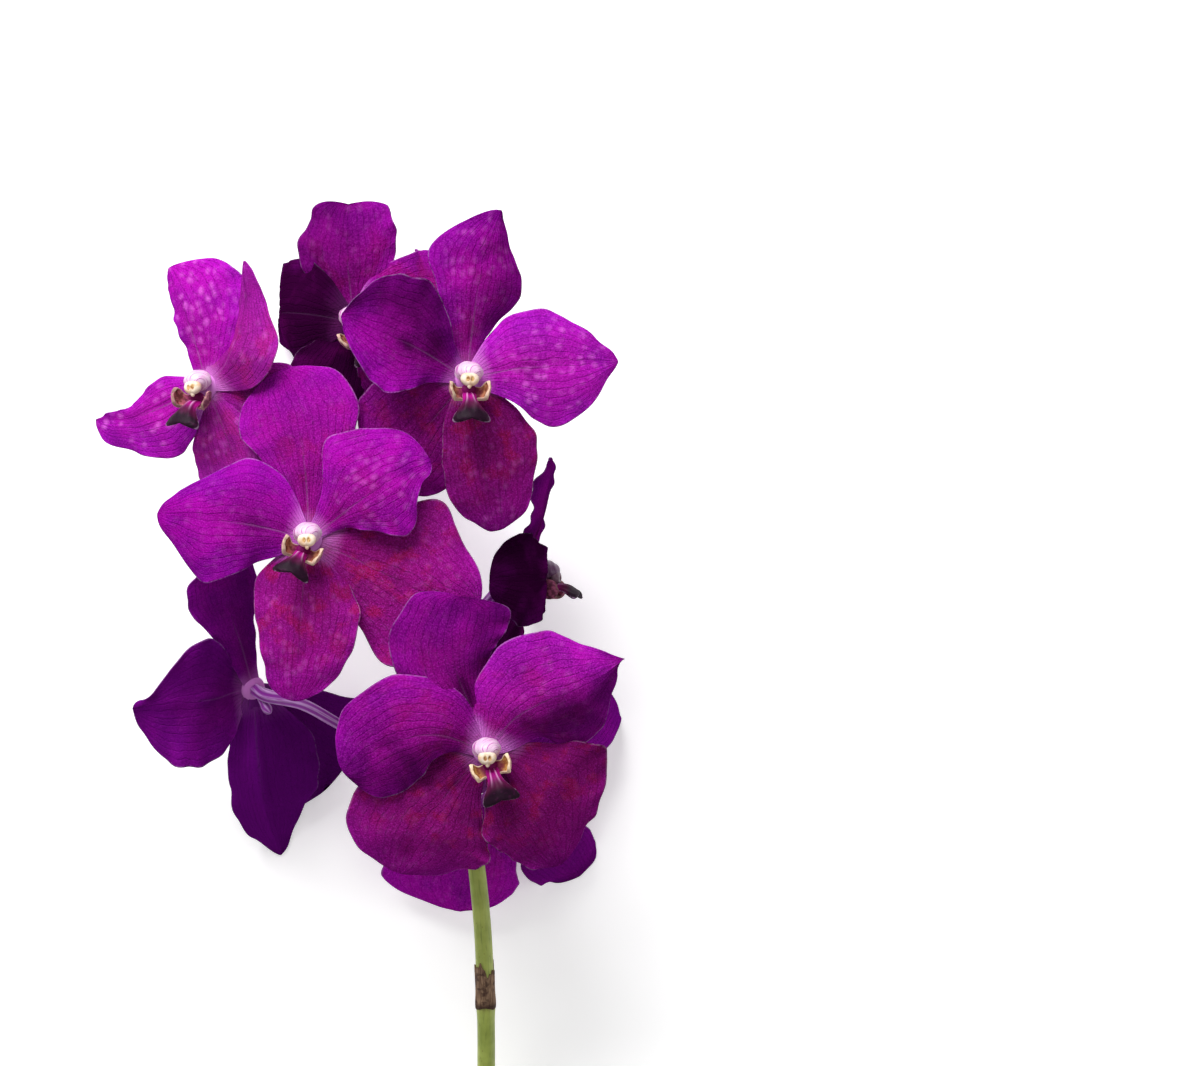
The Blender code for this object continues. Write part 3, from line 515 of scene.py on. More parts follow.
def ball_shape(middle, radii, axes, sides=32, rings=18, pits=()):
    """A closed ellipsoid: rings of radius sin(angle) at height -cos(angle) along the last axis.

    Round the direction of each pit it is pressed in by a bell, longer one way than the other.
    """
    angle = np.linspace(0, np.pi, rings + 2)[1:-1]
    turn = np.linspace(0, 2 * np.pi, sides, endpoint=False)
    a, b = np.meshgrid(angle, turn, indexing="ij")
    grid = np.stack([np.sin(a) * np.cos(b), np.sin(a) * np.sin(b), -np.cos(a)], -1).reshape(-1, 3)
    local = np.vstack([grid, [[0, 0, -1], [0, 0, 1]]])
    pit = sum((bell(np.linalg.norm((local - unit(there)) * PIT_STRETCH, axis=1), PIT_WIDTH)
               for there in pits), np.zeros(len(local)))
    local = local * radii * (1 - PIT_DEPTH * pit)[:, None]
    return Shape(np.asarray(middle) + local @ axes, wrap_faces(rings, sides), {"pit": pit})


def joined(shapes):
    """Several closed shapes as one, with every mark that any of them has, 0 where one lacks it."""
    names = sorted({name for shape in shapes for name in shape.marks})
    points, faces, marks = [], [], {name: [] for name in names}
    start = 0
    for shape in shapes:
        points.append(shape.points)
        faces += [[start + corner for corner in face] for face in shape.faces]
        start += len(shape.points)
        for name in names:
            blank = np.zeros((len(shape.points), 3) if name == "flat" else len(shape.points))
            marks[name].append(shape.marks.get(name, blank))
    return Shape(np.vstack(points), faces, {name: np.concatenate(marks[name]) for name in names})


def make_piece(name, shape, finish, slot, *nodes):
    """The shape as a smooth-shaded object in metres that rides on the spray and replaces nodes."""
    mesh = bpy.data.meshes.new(name)
    mesh.from_pydata((shape.points * MM).tolist(), [], shape.faces)
    for mark, values in shape.marks.items():
        kind, field = ("FLOAT_VECTOR", "vector") if values.ndim == 2 else ("FLOAT", "value")
        layer = mesh.attributes.new(mark, kind, "POINT")
        layer.data.foreach_set(field, values.astype(np.float32).ravel())
    mesh.shade_smooth()
    mesh.materials.append(finish)
    piece = bpy.data.objects.new(name, mesh)
    bpy.context.scene.collection.objects.link(piece)
    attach(piece, "root")
    if nodes:
        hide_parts(*nodes)


class Value:
    """One output of a node. Adding, multiplying and so on add the Math nodes for it."""

    def __init__(self, finish, socket):
        self.finish = finish
        self.socket = socket

    def math(self, operation, *others, swapped=False):
        """A Math node on this value and the others, the first two swapped if asked."""
        terms = [self, *others]
        if swapped:
            terms = [others[0], self]
        return self.finish.node("ShaderNodeMath", {"operation": operation}, dict(enumerate(terms)))

    def __add__(self, other):
        return self.math("ADD", other)

    def __sub__(self, other):
        return self.math("SUBTRACT", other)

    def __rsub__(self, other):
        return self.math("SUBTRACT", other, swapped=True)

    def __mul__(self, other):
        return self.math("MULTIPLY", other)

    def __abs__(self):
        return self.math("ABSOLUTE")

    def rising(self, low, high):
        """0 below low, 1 above high, with a smooth rise between; low may be the greater one."""
        settings = {"interpolation_type": "SMOOTHSTEP"}
        values = {"Value": self, "From Min": low, "From Max": high}
        return self.finish.node("ShaderNodeMapRange", settings, values)


class Finish:
    """A material with one Principled shader, whose nodes are made by one method."""

    def __init__(self, name, roughness=0.5, specular=0.3):
        self.material = bpy.data.materials.new(name)
        self.material.use_nodes = True
        self.nodes = self.material.node_tree.nodes
        self.links = self.material.node_tree.links
        self.shader = self.nodes["Principled BSDF"]
        self.shader.inputs["Roughness"].default_value = roughness
        self.shader.inputs["Specular IOR Level"].default_value = specular

    def node(self, kind, settings=None, values=None, output=0):
        """A node of this kind: its settings first, then the values or links of its sockets."""
        made = self.nodes.new(kind)
        for key, setting in (settings or {}).items():
            setattr(made, key, setting)
        for key, value in (values or {}).items():
            if isinstance(value, Value):
                self.links.new(value.socket, made.inputs[key])
            else:
                made.inputs[key].default_value = value
        return Value(self, made.outputs[output])

    def mark(self, name, output="Fac"):
        """One of the piece's own marks: a number, or a vector with output Vector."""
        return self.node("ShaderNodeAttribute", {"attribute_name": name}, output=output)

    def place(self):
        """Object coordinates, in metres."""
        return self.node("ShaderNodeTexCoord", output="Object")

    def stretched(self, vector, by):
        """A vector times another, part by part."""
        return self.node("ShaderNodeVectorMath", {"operation": "MULTIPLY"}, {0: vector, 1: by})

    def added(self, first, second):
        """The sum of two vectors."""
        return self.node("ShaderNodeVectorMath", {"operation": "ADD"}, {0: first, 1: second})

    def part(self, vector, number):
        """One part of a vector, counted from 0."""
        return self.node("ShaderNodeSeparateXYZ", None, {0: vector}, output=number)

    def noise(self, vector, scale, detail=2.0):
        """Smooth noise round 0.5."""
        return self.node("ShaderNodeTexNoise", None,
                         {"Vector": vector, "Scale": scale, "Detail": detail}, output="Fac")

    def noise_colour(self, vector, scale):
        """Three smooth noises at once, as a vector."""
        return self.node("ShaderNodeTexNoise", None, {"Vector": vector, "Scale": scale},
                         output="Color")

    def cells(self, vector, scale, feature="F1", randomness=0.75):
        """The distance to a cell's middle, or to its border, of a field of uneven cells."""
        return self.node("ShaderNodeTexVoronoi", {"feature": feature},
                         {"Vector": vector, "Scale": scale, "Randomness": randomness},
                         output="Distance")

    def blend(self, amount, first, second):
        """The first colour, or the second where amount is 1."""
        first, second = (c if isinstance(c, Value) else (*c, 1) for c in (first, second))
        return self.node("ShaderNodeMix", {"data_type": "RGBA"}, {0: amount, 6: first, 7: second},
                         output=2)

    def done(self, colour, roughness=None, height=None, relief=0.3):
        """Links the colour, the roughness and the height of the relief, and gives the material."""
        self.links.new(colour.socket, self.shader.inputs["Base Color"])
        if roughness is not None:
            self.links.new(roughness.socket, self.shader.inputs["Roughness"])
        if height is not None:
            bump = self.node("ShaderNodeBump", None,
                             {"Height": height, "Distance": relief * MM, "Strength": 1.0})
            self.links.new(bump.socket, self.shader.inputs["Normal"])
        return self.material


# The colours of the tepals
MAGENTA = (0.40, 0.003, 0.40)
VIOLET = (0.26, 0.002, 0.33)
DUSTY_RED = (0.25, 0.008, 0.125)
CRIMSON = (0.38, 0.009, 0.09)
# DEEP is the dark of the grain, nerves and skin, and also the colour of painted shade; GLOW is the
# pale of the grain, and also the colour of painted light.
DEEP = (0.022, 0.0006, 0.020)
GLOW = (0.60, 0.040, 0.60)
SPOT = (0.76, 0.15, 0.72)
MARGIN = (0.36, 0.004, 0.48)
HEART = (0.30, 0.004, 0.19)
LILAC = (0.66, 0.22, 0.66)
PALE_LILAC = (0.62, 0.36, 0.66)
REVERSE = (0.12, 0.003, 0.17)


def tepal_finish():
    """Velvety magenta: a lilac foot, nerves that fan out, a net between them, pale spots, a pale
    rim, and a bluer, darker reverse."""
    f = Finish("tepal_finish", 0.55, 0.0)
    flat = f.mark("flat", "Vector")
    fan, run, edge = f.mark("fan"), f.mark("run"), abs(f.mark("fan"))
    red, dark, spotted, shaded = (f.mark(name) for name in TINT_MARKS)
    # Below 0, dark stands for painted light instead: how much the tepal is brightened towards GLOW.
    glowing = (dark * -1).math("MAXIMUM", 0.0)
    dark = dark.math("MAXIMUM", 0.0)
    cloud = f.noise(flat, 0.075, 3.0)
    blotch = f.noise(flat, 0.16, 3.0)
    fine = f.noise(flat, 0.9, 4.0)
    grain = f.noise(flat, 2.2, 3.0)
    wander = f.noise(flat, 0.16, 2.0)
    skin = f.cells(f.added(f.stretched(flat, (1.7, 1.7, 1.0)),
                           f.stretched(f.noise_colour(flat, 0.6), (2.4, 2.4, 0.0))), 1.0)
    nerve_lines = abs((fan * 8 + wander * 1.1).math("FRACT") - 0.5).rising(0.15, 0.0)
    twig_lines = abs((fan * 21 + wander * 3.2 + run * 2.4).math("FRACT") - 0.5).rising(0.2, 0.0)
    bent = f.added(f.stretched(flat, (0.34, 0.27, 1.0)),
                   f.stretched(f.noise_colour(flat, 0.2), (0.7, 0.7, 0.0)))
    net = f.cells(bent, 1.0, "DISTANCE_TO_EDGE").rising(0.12, 0.0)
    spots = f.cells(bent, 1.0).rising(0.52, 0.02) * blotch.rising(0.32, 0.6)
    body = f.blend(cloud.rising(0.40, 0.62), MAGENTA, VIOLET)
    body = f.blend(edge.rising(0.5, 1.0) * 0.4, body, MARGIN)
    body = f.blend(edge.rising(0.8, 0.1) * run.rising(0.95, 0.35) * 0.45, body, HEART)
    body = f.blend(red * run.rising(1.8, 0.3), body, DUSTY_RED)
    body = f.blend(red * blotch.rising(0.48, 0.66) * run.rising(0.95, 0.4), body, CRIMSON)
    # Painted light: tepals that are lit more brightly are brightened towards GLOW.
    body = f.blend(glowing, body, GLOW)
    body = f.blend(grain.rising(0.5, 0.68) * 0.34, body, GLOW)
    body = f.blend(grain.rising(0.5, 0.32) * 0.30, body, DEEP)
    body = f.blend(skin.rising(0.30, 0.85) * 0.12 + fine.rising(0.5, 0.25) * 0.14, body, DEEP)
    veins = (nerve_lines * 0.24 + twig_lines * 0.10) * run.rising(0.03, 0.3)
    body = f.blend(veins * 0.7 + net * spotted * 0.05, body, DEEP)
    spots = spots * spotted * run.rising(0.12, 0.4) * edge.rising(1.0, 0.7)
    body = f.blend(spots * 0.52, body, SPOT)
    # Darker near the base of the red sepals: partly their own deeper colour, partly painted shade
    # under the petals.
    body = f.blend(red * run.rising(0.6, 0.15) * 0.35, body, DEEP)
    # Painted shade over one half of the tepal, as where a folded or turned half lies in shadow; shaded
    # sets which half and how much.
    half = (fan * shaded * 4 + wander * 1.6 - 0.8).rising(-0.6, 1.2) * abs(shaded)
    half = half * run.rising(0.1, 0.35)
    # Painted shade in the hollows and along the midrib groove.
    hollow = f.mark("hollow").rising(0.35, 1.0) * 0.34 + f.mark("hollow").rising(0.2, -0.7) * -0.1
    # The tepal's own deeper tone and all the painted shade together darken it towards DEEP.
    body = f.blend((dark + half + hollow) * (cloud * 0.5 + 0.6 + dark * 0.16), body, DEEP)
    body = f.blend(f.mark("reverse") * (dark * 0.9 + 0.1), body, REVERSE)
    foot = (run + wander * 0.10 + nerve_lines * 0.03).rising(0.24, 0.07)
    body = f.blend(foot * (0.85 - dark * 0.85), body, LILAC)
    midrib = abs(f.part(flat, 0)).rising(0.5, 0.0) * run.rising(0.65, 0.15)
    body = f.blend(midrib * (0.14 - red * 0.1 - dark * 0.1).math("MAXIMUM", 0.0), body, PALE_LILAC)
    rim = edge.rising(0.972, 0.99) * fine.rising(0.3, 0.6) * run.rising(0.12, 0.35)
    body = f.blend(rim * (0.24 - dark * 0.14), body, PALE_LILAC)
    height = fine * 0.5 + grain * 0.4 - skin * 0.35 - nerve_lines * 0.3 + spots * 0.3
    return f.done(body, grain * 0.2 + 0.45, height, 0.42)


def column_finish():
    """Lilac white with magenta streaks; a cream cap with golden pits, dark in their depth."""
    f = Finish("column_finish", 0.36, 0.35)
    cap, pit, tone = f.mark("cap"), f.mark("pit"), f.mark("tone")
    streak = f.noise(f.stretched(f.mark("flat", "Vector"), (2.2, 0.35, 1.0)), 1.0, 3.0)
    cloud = f.noise(f.place(), 420.0, 3.0)
    body = f.blend(streak.rising(0.5, 0.66), (0.74, 0.50, 0.68), (0.42, 0.03, 0.34))
    body = f.blend(f.mark("run").rising(0.22, 0.02), body, (0.36, 0.01, 0.26))
    cream = f.blend(cloud.rising(0.4, 0.7), (0.84, 0.72, 0.58), (0.70, 0.47, 0.30))
    gold = f.blend(f.noise(f.place(), 900.0, 2.0).rising(0.5, 0.62), (0.60, 0.36, 0.14),
                   (0.30, 0.12, 0.04))
    # The pits turn golden and darker towards their middle: partly their own gold, partly painted shade
    # in the recess.
    cream = f.blend(pit.rising(0.25, 0.6), cream, gold)
    # The bloom's tone darkens the whole column towards near-black maroon: painted shade for a column
    # that lies in shadow.
    body = f.blend(tone, f.blend(cap, body, cream), (0.06, 0.005, 0.06))
    return f.done(body, None, cloud, 0.08)


def lip_finish():
    """A keeled tongue from magenta through maroon to near-black with a pale edge, and golden side
    lobes with a cream rim."""
    f = Finish("lip_finish", 0.5, 0.2)
    f.shader.inputs["IOR"].default_value = 1.3
    run, lobe, fan, tone = f.mark("run"), f.mark("lobe"), f.mark("fan"), f.mark("tone")
    edge = abs(fan)
    streak = f.noise(f.place(), 620.0, 3.0)
    tongue = f.blend(run.rising(0.12, 0.42), (0.38, 0.006, 0.22), (0.07, 0.004, 0.035))
    tongue = f.blend(run.rising(0.40, 0.62), tongue, (0.012, 0.002, 0.010))
    keel = abs(edge - 0.3).rising(0.14, 0.0) * run.rising(0.5, 0.15) * run.rising(0.0, 0.1)
    tongue = f.blend(keel * 0.75, tongue, (0.70, 0.34, 0.62))
    # The pale edge is partly a pale rim and partly a painted highlight along the glossy edge.
    tongue = f.blend(edge.rising(0.90, 0.98) * streak.rising(0.42, 0.6) * 0.5, tongue, (0.5, 0.3, 0.5))
    tongue = f.blend(streak.rising(0.55, 0.75) * 0.25, tongue, (0.10, 0.008, 0.07))
    side = f.blend(streak.rising(0.4, 0.65), (0.50, 0.25, 0.07), (0.24, 0.07, 0.03))
    side = f.blend(f.mark("reverse"), side, f.blend(streak.rising(0.4, 0.6), (0.66, 0.40, 0.34),
                                                    (0.46, 0.16, 0.22)))
    side = f.blend(run.rising(0.35, 0.0), side, (0.22, 0.01, 0.10))
    side = f.blend(((edge - 0.80) * 5).math("MAXIMUM", (run - 0.86) * 7).rising(0.0, 0.7), side,
                   (0.80, 0.62, 0.42))
    # Towards maroon by the bloom's tone: partly the side lobes' own maroon, partly painted shade for a
    # lip in shadow.
    side = f.blend(tone * 0.9, side, f.blend(streak.rising(0.4, 0.6), (0.30, 0.03, 0.14),
                                             (0.06, 0.006, 0.03)))
    return f.done(f.blend(lobe, tongue, side), None, streak + edge * 0.3, 0.12)


def stalk_finish():
    """Lilac white with magenta streaks along the ribs; greener at the foot."""
    f = Finish("stalk_finish", 0.45, 0.25)
    run, turn = f.mark("run"), f.mark("turn")
    streak = f.noise(f.stretched(f.mark("flat", "Vector"), (3.0, 0.3, 1.0)), 1.0, 3.0)
    ribs = (turn * 6 + run * 3).math("COSINE").rising(-0.6, 0.9)
    body = f.blend(ribs, (0.24, 0.03, 0.30), (0.50, 0.26, 0.58))
    body = f.blend(streak.rising(0.45, 0.68) * 0.75, body, (0.26, 0.02, 0.30))
    body = f.blend(run.rising(0.20, 0.0) * 0.7, body, (0.20, 0.17, 0.08))
    return f.done(body, None, streak + ribs * 0.4, 0.15)


def stem_finish():
    """Yellow-green skin, mottled, with fine streaks, pale dots and brown scars at the joints."""
    f = Finish("stem_finish", 0.42, 0.35)
    place, flat = f.place(), f.mark("flat", "Vector")
    mottle = f.noise(place, 80.0, 4.0)
    streak = f.noise(f.stretched(flat, (1.6, 0.12, 1.0)), 1.0, 3.0)
    dots = f.cells(f.stretched(flat, (0.55, 0.35, 1.0)), 1.0).rising(0.16, 0.06)
    body = f.blend(mottle.rising(0.35, 0.62), (0.24, 0.30, 0.050), (0.40, 0.47, 0.100))
    body = f.blend(streak.rising(0.50, 0.72) * 0.45, body, (0.12, 0.17, 0.034))
    body = f.blend(dots * 0.4, body, (0.12, 0.06, 0.02))
    body = f.blend(f.mark("scar") * streak.rising(0.3, 0.6) * 0.8, body, (0.12, 0.06, 0.025))
    body = f.blend(f.mark("cut"), body, f.blend(mottle.rising(0.4, 0.6), (0.36, 0.36, 0.16),
                                                (0.22, 0.24, 0.09)))
    return f.done(body, None, streak * 0.7 + mottle * 0.4, 0.18)


def sheath_finish():
    """Dry papery brown with darker fibres and a dark lower band."""
    f = Finish("sheath_finish", 0.7, 0.15)
    flat, run = f.mark("flat", "Vector"), f.mark("run")
    fibre = f.noise(f.stretched(flat, (2.4, 0.25, 1.0)), 1.0, 4.0)
    blotch = f.noise(flat, 0.35, 3.0)
    body = f.blend(fibre.rising(0.35, 0.65), (0.30, 0.19, 0.115), (0.13, 0.07, 0.045))
    body = f.blend(blotch.rising(0.52, 0.62) * 0.7, body, (0.045, 0.020, 0.016))
    body = f.blend((run - SHEATH_LOW).rising(0.009, 0.002) * 0.85, body, (0.035, 0.014, 0.010))
    body = f.blend(f.mark("bract"), body, f.blend(fibre, (0.16, 0.12, 0.05), (0.07, 0.035, 0.02)))
    return f.done(body, None, fibre + blotch * 0.5, 0.3)


def make_tepals(name, bloom, number, finish):
    """Five blades and the hub they grow from."""
    axes = bloom_axes(bloom)
    hub = ball_shape(bloom.middle, (HUB_RADIUS, HUB_RADIUS, HUB_HALF_DEPTH), axes)
    shapes = [hub]
    for place, (tepal, tint) in enumerate(zip(bloom.tepals, TINTS[name])):
        lift = PETAL_LIFT if place < PETALS else -PETAL_LIFT
        seed = number * len(bloom.tepals) + place + 1
        shapes.append(tepal_shape(bloom, tepal, lift, seed, tint))
    make_piece(name + "_petals_and_sepals", joined(shapes), finish, "tepals", name + "_tepals")


def make_column(name, bloom, finish):
    """The column: an arched body, closed round at its top, with the cap and its two pits."""

    def radius(t, angle):
        body = smooth(np.linspace(0, 1, len(COLUMN_SWELL)), COLUMN_SWELL, t)
        return np.maximum(body, 0.05) * (1 + 0.025 * np.cos(7 * angle))

    body = tube_shape(COLUMN_ROUTE, radius, np.linspace(0, 1, COLUMN_RINGS), COLUMN_SIDES)
    body.marks["flat"] = flat_place(body, 3.0, 9.0)
    body = body._replace(points=to_world(bloom, body.points * (COLUMN_BREADTH, 1, 1)))
    axes = bloom_axes(bloom)
    cap = ball_shape(to_world(bloom, CAP_MIDDLE), CAP_RADII, axes, 56, 40, CAP_PITS)
    cap.marks["cap"] = np.ones(len(cap.points))
    beak = ball_shape(to_world(bloom, BEAK_MIDDLE), BEAK_RADII, axes, 16, 10)
    beak.marks["cap"] = np.ones(len(beak.points))
    shape = joined([body, cap, beak])
    shape.marks["tone"] = np.full(len(shape.points), TONES_AND_SHADE[name][1])
    make_piece(name + "_fine_column", shape, finish, "column", name + "_column")


def flat_place(tube, radius, length):
    """A tube's skin laid flat, in millimetres: round it, along it, and 0."""
    return np.stack([tube.marks["turn"] * radius, tube.marks["run"] * length,
                     np.zeros(len(tube.points))], -1)


def lobe_shape(bloom, route, halves, cup, notch, facing, lobe):
    """One lobe of the lip: a thick leaf, from the bloom's own right, up and forward."""
    tepal = Tepal((), halves, halves, (cup, cup), (0, 1, 0), notch=notch)
    t, v = leaf_grid(LOBE_ROWS, LOBE_COLUMNS)
    direction = unit(to_world(bloom, facing, bloom.lip_turn) - np.asarray(bloom.middle))
    middle = blade_surface(to_world(bloom, route, bloom.lip_turn), direction, tepal, t, v)[0]
    half = LIP_THICKNESS / 2 * np.sqrt(np.maximum(1 - v ** 4, 0.06) * (1 - 0.8 * t ** 4))
    keels = 0.9 * (bell(v - 0.3, 0.13) + bell(v + 0.3, 0.13)) * ease(t * 5) * ease((0.75 - t) * 3)
    ribs = 0.12 * np.cos(8 * np.pi * v) * ease((1 - t) * 4) * ease(t * 4)
    raised = ribs + keels * (1 - lobe)
    rim = 0.35 * lobe * bell(np.abs(v) - 0.93, 0.1)
    marks = {"run": t, "fan": v, "lobe": np.full_like(t, lobe)}
    return leaf_shape(middle, half + raised + rim, -half - rim, marks)


def tongue_route(drop):
    """The tongue's midrib from the root: it starts drop degrees below forward and bends down."""
    angles = np.radians(drop + TONGUE_BEND * np.array([-1, 0, 1]))
    steps = np.stack([0 * angles, -np.sin(angles), np.cos(angles)], -1) * TONGUE_LENGTH / 3
    start = np.array([TONGUE_START], float)
    return np.vstack([start, start + np.cumsum(steps, axis=0)])


def make_lip(name, bloom, finish):
    """The lip: a root under the column, two upright side lobes and the keeled dark tongue."""
    root = ball_shape(to_world(bloom, LIP_ROOT, bloom.lip_turn), LIP_ROOT_RADII, bloom_axes(bloom))
    root.marks["run"] = np.full(len(root.points), 0.3)
    shapes = [root, lobe_shape(bloom, tongue_route(bloom.tongue_drop), TONGUE_HALVES, TONGUE_CUP,
                               TONGUE_NOTCH, (0, 1, 1), 0)]
    for side in (-1, 1):
        shapes.append(lobe_shape(bloom, np.array(SIDE_LOBE_ROUTE) * (side, 1, 1), SIDE_LOBE_HALVES,
                                 SIDE_LOBE_CUP, 0, (-side, 0.3, 0.4), 1))
    shape = joined(shapes)
    shape.marks["tone"] = np.full(len(shape.points), TONES_AND_SHADE[name][0])
    make_piece(name + "_fine_lip", shape, finish, "lip", name + "_lip")


def stem_joints():
    """The places of the stem's joints: the sheathed one below the blooms, and one at each stalk."""
    return np.array([STEM_SHEATH_JOINT] + [bloom.stalk_place for bloom in BLOOMS.values()])


def stem_radius(at):
    """The stem tapers to its tip and swells a little at each joint."""
    at = np.asarray(at, float)
    radius = smooth(np.linspace(0, 1, len(STEM_RADII)), STEM_RADII, at)
    nearest = np.abs(at[..., None] - stem_joints()).min(axis=-1)
    return radius + STEM_JOINT_SWELL * np.exp(-(nearest / STEM_JOINT_REACH) ** 2)


def stem_at(place):
    """The stem's middle and its direction at a place between its foot, 0, and its tip, 1."""
    route = np.array(STEM_ROUTE, float)
    here, near = smooth(spaced(route), route, np.array([place, place - 0.01]))
    return here, unit(here - near)


def stalk_direction(bloom, joint, along):
    """Which way a stalk leaves the stem: towards its next point, at right angles to the stem."""
    end = to_world(bloom, ((0, 0, -STALK_LEAD),))
    out = np.vstack([np.asarray(bloom.stalk, float).reshape(-1, 3), end])[0] - joint
    return unit(out - (out @ along) * along)


def make_stalk(name, bloom, finish):
    """The ribbed stalk from the stem to the back of the bloom, and the short spur."""
    end = to_world(bloom, ((0, 0, -STALK_LEAD), (0, 0, -HUB_HALF_DEPTH)))
    rest = np.vstack([np.asarray(bloom.stalk, float).reshape(-1, 3), end])
    joint, along = stem_at(bloom.stalk_place)
    out = stalk_direction(bloom, joint, along)
    skin = stem_radius(bloom.stalk_place) - 0.6
    route = np.vstack([joint + out * skin, joint + out * (skin + STALK_FOOT), rest])

    def radius(t, angle):
        body = smooth(np.linspace(0, 1, len(STALK_RADII)), STALK_RADII, t) + 0.8 * bell(t, 0.03)
        return body * (1 + 0.09 * np.cos(6 * angle + 3.0 * t))

    def spur_radius(t, angle):
        return np.maximum(smooth((0, 0.5, 0.9, 1), (1.6, 1.5, 1.0, 0.05), t), 0.05)

    stalk = tube_shape(route, radius, np.linspace(0, 1, STALK_RINGS), STALK_SIDES)
    stalk.marks["flat"] = flat_place(stalk, 1.6, 50.0)
    spur = tube_shape(to_world(bloom, SPUR_ROUTE), spur_radius, np.linspace(0, 1, 20), 20)
    spur.marks["flat"] = flat_place(spur, 1.4, 8.0)
    spur.marks["run"] = 0.5 + 0.5 * spur.marks["run"]
    make_piece(name + "_ribbed_stalk", joined([stalk, spur]), finish, "stalk", name + "_stalk")


def bract_shape(bloom):
    """The dry pointed scale below a stalk's foot, half wrapped round the stem."""
    joint, along = stem_at(bloom.stalk_place)
    out = stalk_direction(bloom, joint, along)
    skin = stem_radius(bloom.stalk_place)
    route = np.array([joint - along * 3.0 + out * (skin - 0.2), joint + out * (skin + 0.5),
                      joint + along * 2.2 + out * (skin + 2.4)])
    t, v = leaf_grid(14, 12)
    tepal = Tepal((), BRACT_HALVES, BRACT_HALVES, (BRACT_CUP, BRACT_CUP), (0.2, 2, 0))
    middle = blade_surface(route, out, tepal, t, v)[0]
    half = np.full_like(t, 0.12)
    flat = np.stack([v * 3, t * 6, np.zeros_like(t)], -1)
    return leaf_shape(middle, half, -half, {"run": t, "flat": flat, "bract": np.ones_like(t)})


def make_sheath(finish):
    """The torn dry sheath round the stem's lowest joint, and the bract below each stalk."""
    angle = np.linspace(0, 2 * np.pi, SHEATH_SIDES, endpoint=False)
    torn = 0.006 * (np.sin(2 * angle + 0.6) + 0.6 * np.sin(5 * angle) + 0.35 * np.sin(13 * angle))
    low = SHEATH_LOW + 0.0015 * np.sin(3 * angle + 1)
    at = low + np.linspace(0, 1, SHEATH_RINGS)[:, None] * (SHEATH_HIGH + torn - low)

    def radius(t, turn):
        crinkle = 0.10 * np.sin(9 * turn + 40 * t) + 0.05 * np.sin(23 * turn)
        return stem_radius(t) + 0.18 + crinkle * 0.6 + 0.22 * ease((t - STEM_SHEATH_JOINT) / 0.04)

    tube = tube_shape(STEM_ROUTE, radius, at, SHEATH_SIDES)
    tube.marks["flat"] = flat_place(tube, 3.0, STEM_MARKS_LENGTH)
    tube.marks["bract"] = np.zeros(len(tube.points))
    bracts = [bract_shape(bloom) for bloom in BLOOMS.values()]
    make_piece("dry_sheath_and_bracts", joined([tube] + bracts), finish, "stem")


def make_stem(finish):
    """The stem, slightly ridged, with a swelling at each joint, cut square at its foot."""

    def radius(t, angle):
        return stem_radius(t) * (1 + 0.02 * np.cos(5 * angle + 4 * t) + 0.01 * np.sin(60 * t + angle))

    shape = tube_shape(STEM_ROUTE, radius, np.linspace(0, 1, STEM_RINGS), STEM_SIDES)
    run = shape.marks["run"]
    shape.marks["flat"] = flat_place(shape, 3.0, STEM_MARKS_LENGTH)
    shape.marks["scar"] = bell(np.abs(run[:, None] - stem_joints()).min(axis=1), 0.006)
    end = ball_shape(STEM_ROUTE[0], (2.7, 2.7, 0.25), CUT_AXES, 40, 8)
    end.marks["cut"] = np.ones(len(end.points))
    make_piece("green_stem", joined([shape, end]), finish, "stem", "stem")


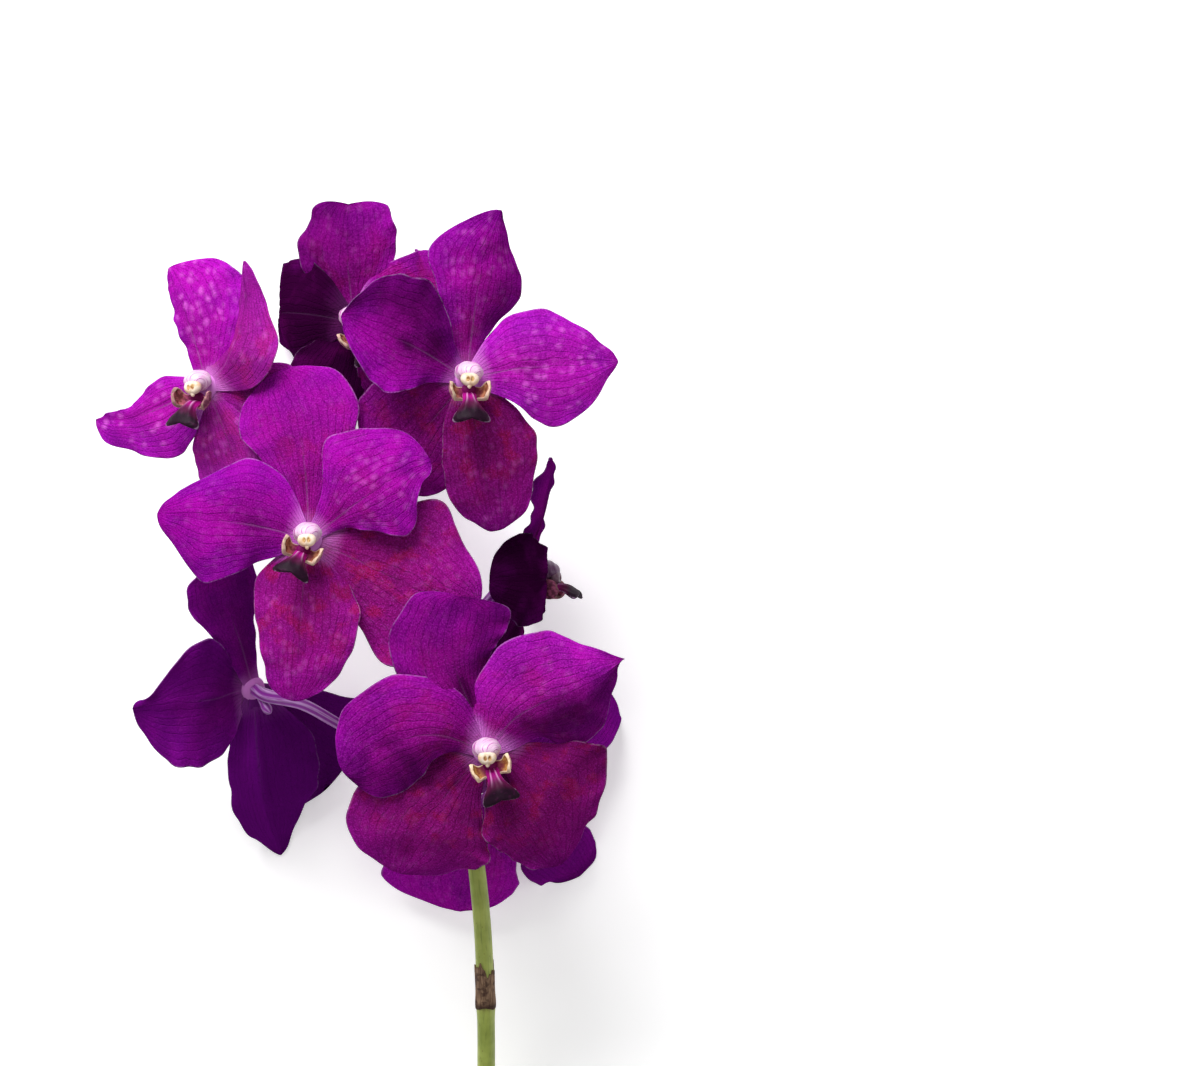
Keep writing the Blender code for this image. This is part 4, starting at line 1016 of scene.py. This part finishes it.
def make_stage():
    """The pale table and soft studio light."""
    mesh = bpy.data.meshes.new("table_top")
    corners = [(x * TABLE_HALF * MM, y * TABLE_HALF * MM, 0)
               for x, y in ((-1, -1), (1, -1), (1, 1), (-1, 1))]
    mesh.from_pydata(corners, [], [(0, 1, 2, 3)])
    f = Finish("table_paint", 0.8, 0.2)
    f.shader.inputs["Emission Color"].default_value = (1, 1, 1, 1)
    f.shader.inputs["Emission Strength"].default_value = TABLE_GLOW
    speck = f.noise(f.place(), 40.0, 2.0)
    mesh.materials.append(f.done(f.blend(speck, (0.90, 0.90, 0.90), (0.93, 0.93, 0.93))))
    table = bpy.data.objects.new("table_top", mesh)
    bpy.context.scene.collection.objects.link(table)
    for name, place, size, power in (("key", (-0.45, 1.25, 1.0), 1.1, 42.0),
                                     ("fill", (1.1, -0.3, 1.0), 1.2, 4.0),
                                     ("front", (-0.9, -0.6, 1.2), 1.2, 3.0)):
        light = bpy.data.lights.new(name, "AREA")
        light.size = size
        light.energy = power
        lamp = bpy.data.objects.new(name, light)
        direction = np.array((0.0, 0.03, 0.05)) - np.array(place)
        lamp.location = place
        lamp.rotation_euler = direction_to_euler(direction)
        bpy.context.scene.collection.objects.link(lamp)
    world = bpy.data.worlds.new("studio")
    world.use_nodes = True
    world.node_tree.nodes["Background"].inputs["Color"].default_value = (1, 1, 1, 1)
    world.node_tree.nodes["Background"].inputs["Strength"].default_value = WORLD_GLOW
    bpy.context.scene.world = world
    bpy.context.scene.view_settings.view_transform = "Standard"


def direction_to_euler(direction):
    """The turn that points a lamp's own -Z along a direction."""
    x, y, z = unit(direction)
    return math.acos(-z), 0, math.atan2(x, -y) + math.pi


def make_camera():
    """The camera, straight above the middle of the photograph's frame, with its top at +Y."""
    camera = bpy.data.cameras.new("camera")
    camera.sensor_width = SENSOR_WIDTH
    camera.lens = SENSOR_WIDTH * CAMERA_DISTANCE / (PHOTO_WIDTH * MM_PER_PIXEL)
    camera.clip_end = 100
    seat = bpy.data.objects.new("camera", camera)
    seat.location = (CAMERA_MIDDLE[0] * MM, CAMERA_MIDDLE[1] * MM,
                     (SHARP_HEIGHT + CAMERA_DISTANCE) * MM)
    bpy.context.scene.collection.objects.link(seat)
    bpy.context.scene.camera = seat


def main():
    tepals, column, lip = tepal_finish(), column_finish(), lip_finish()
    stalk, stem = stalk_finish(), stem_finish()
    make_stem(stem)
    make_sheath(sheath_finish())
    for number, (name, bloom) in enumerate(BLOOMS.items()):
        make_tepals(name, bloom, number, tepals)
        make_column(name, bloom, column)
        make_lip(name, bloom, lip)
        make_stalk(name, bloom, stalk)
    make_stage()
    make_camera()


main()
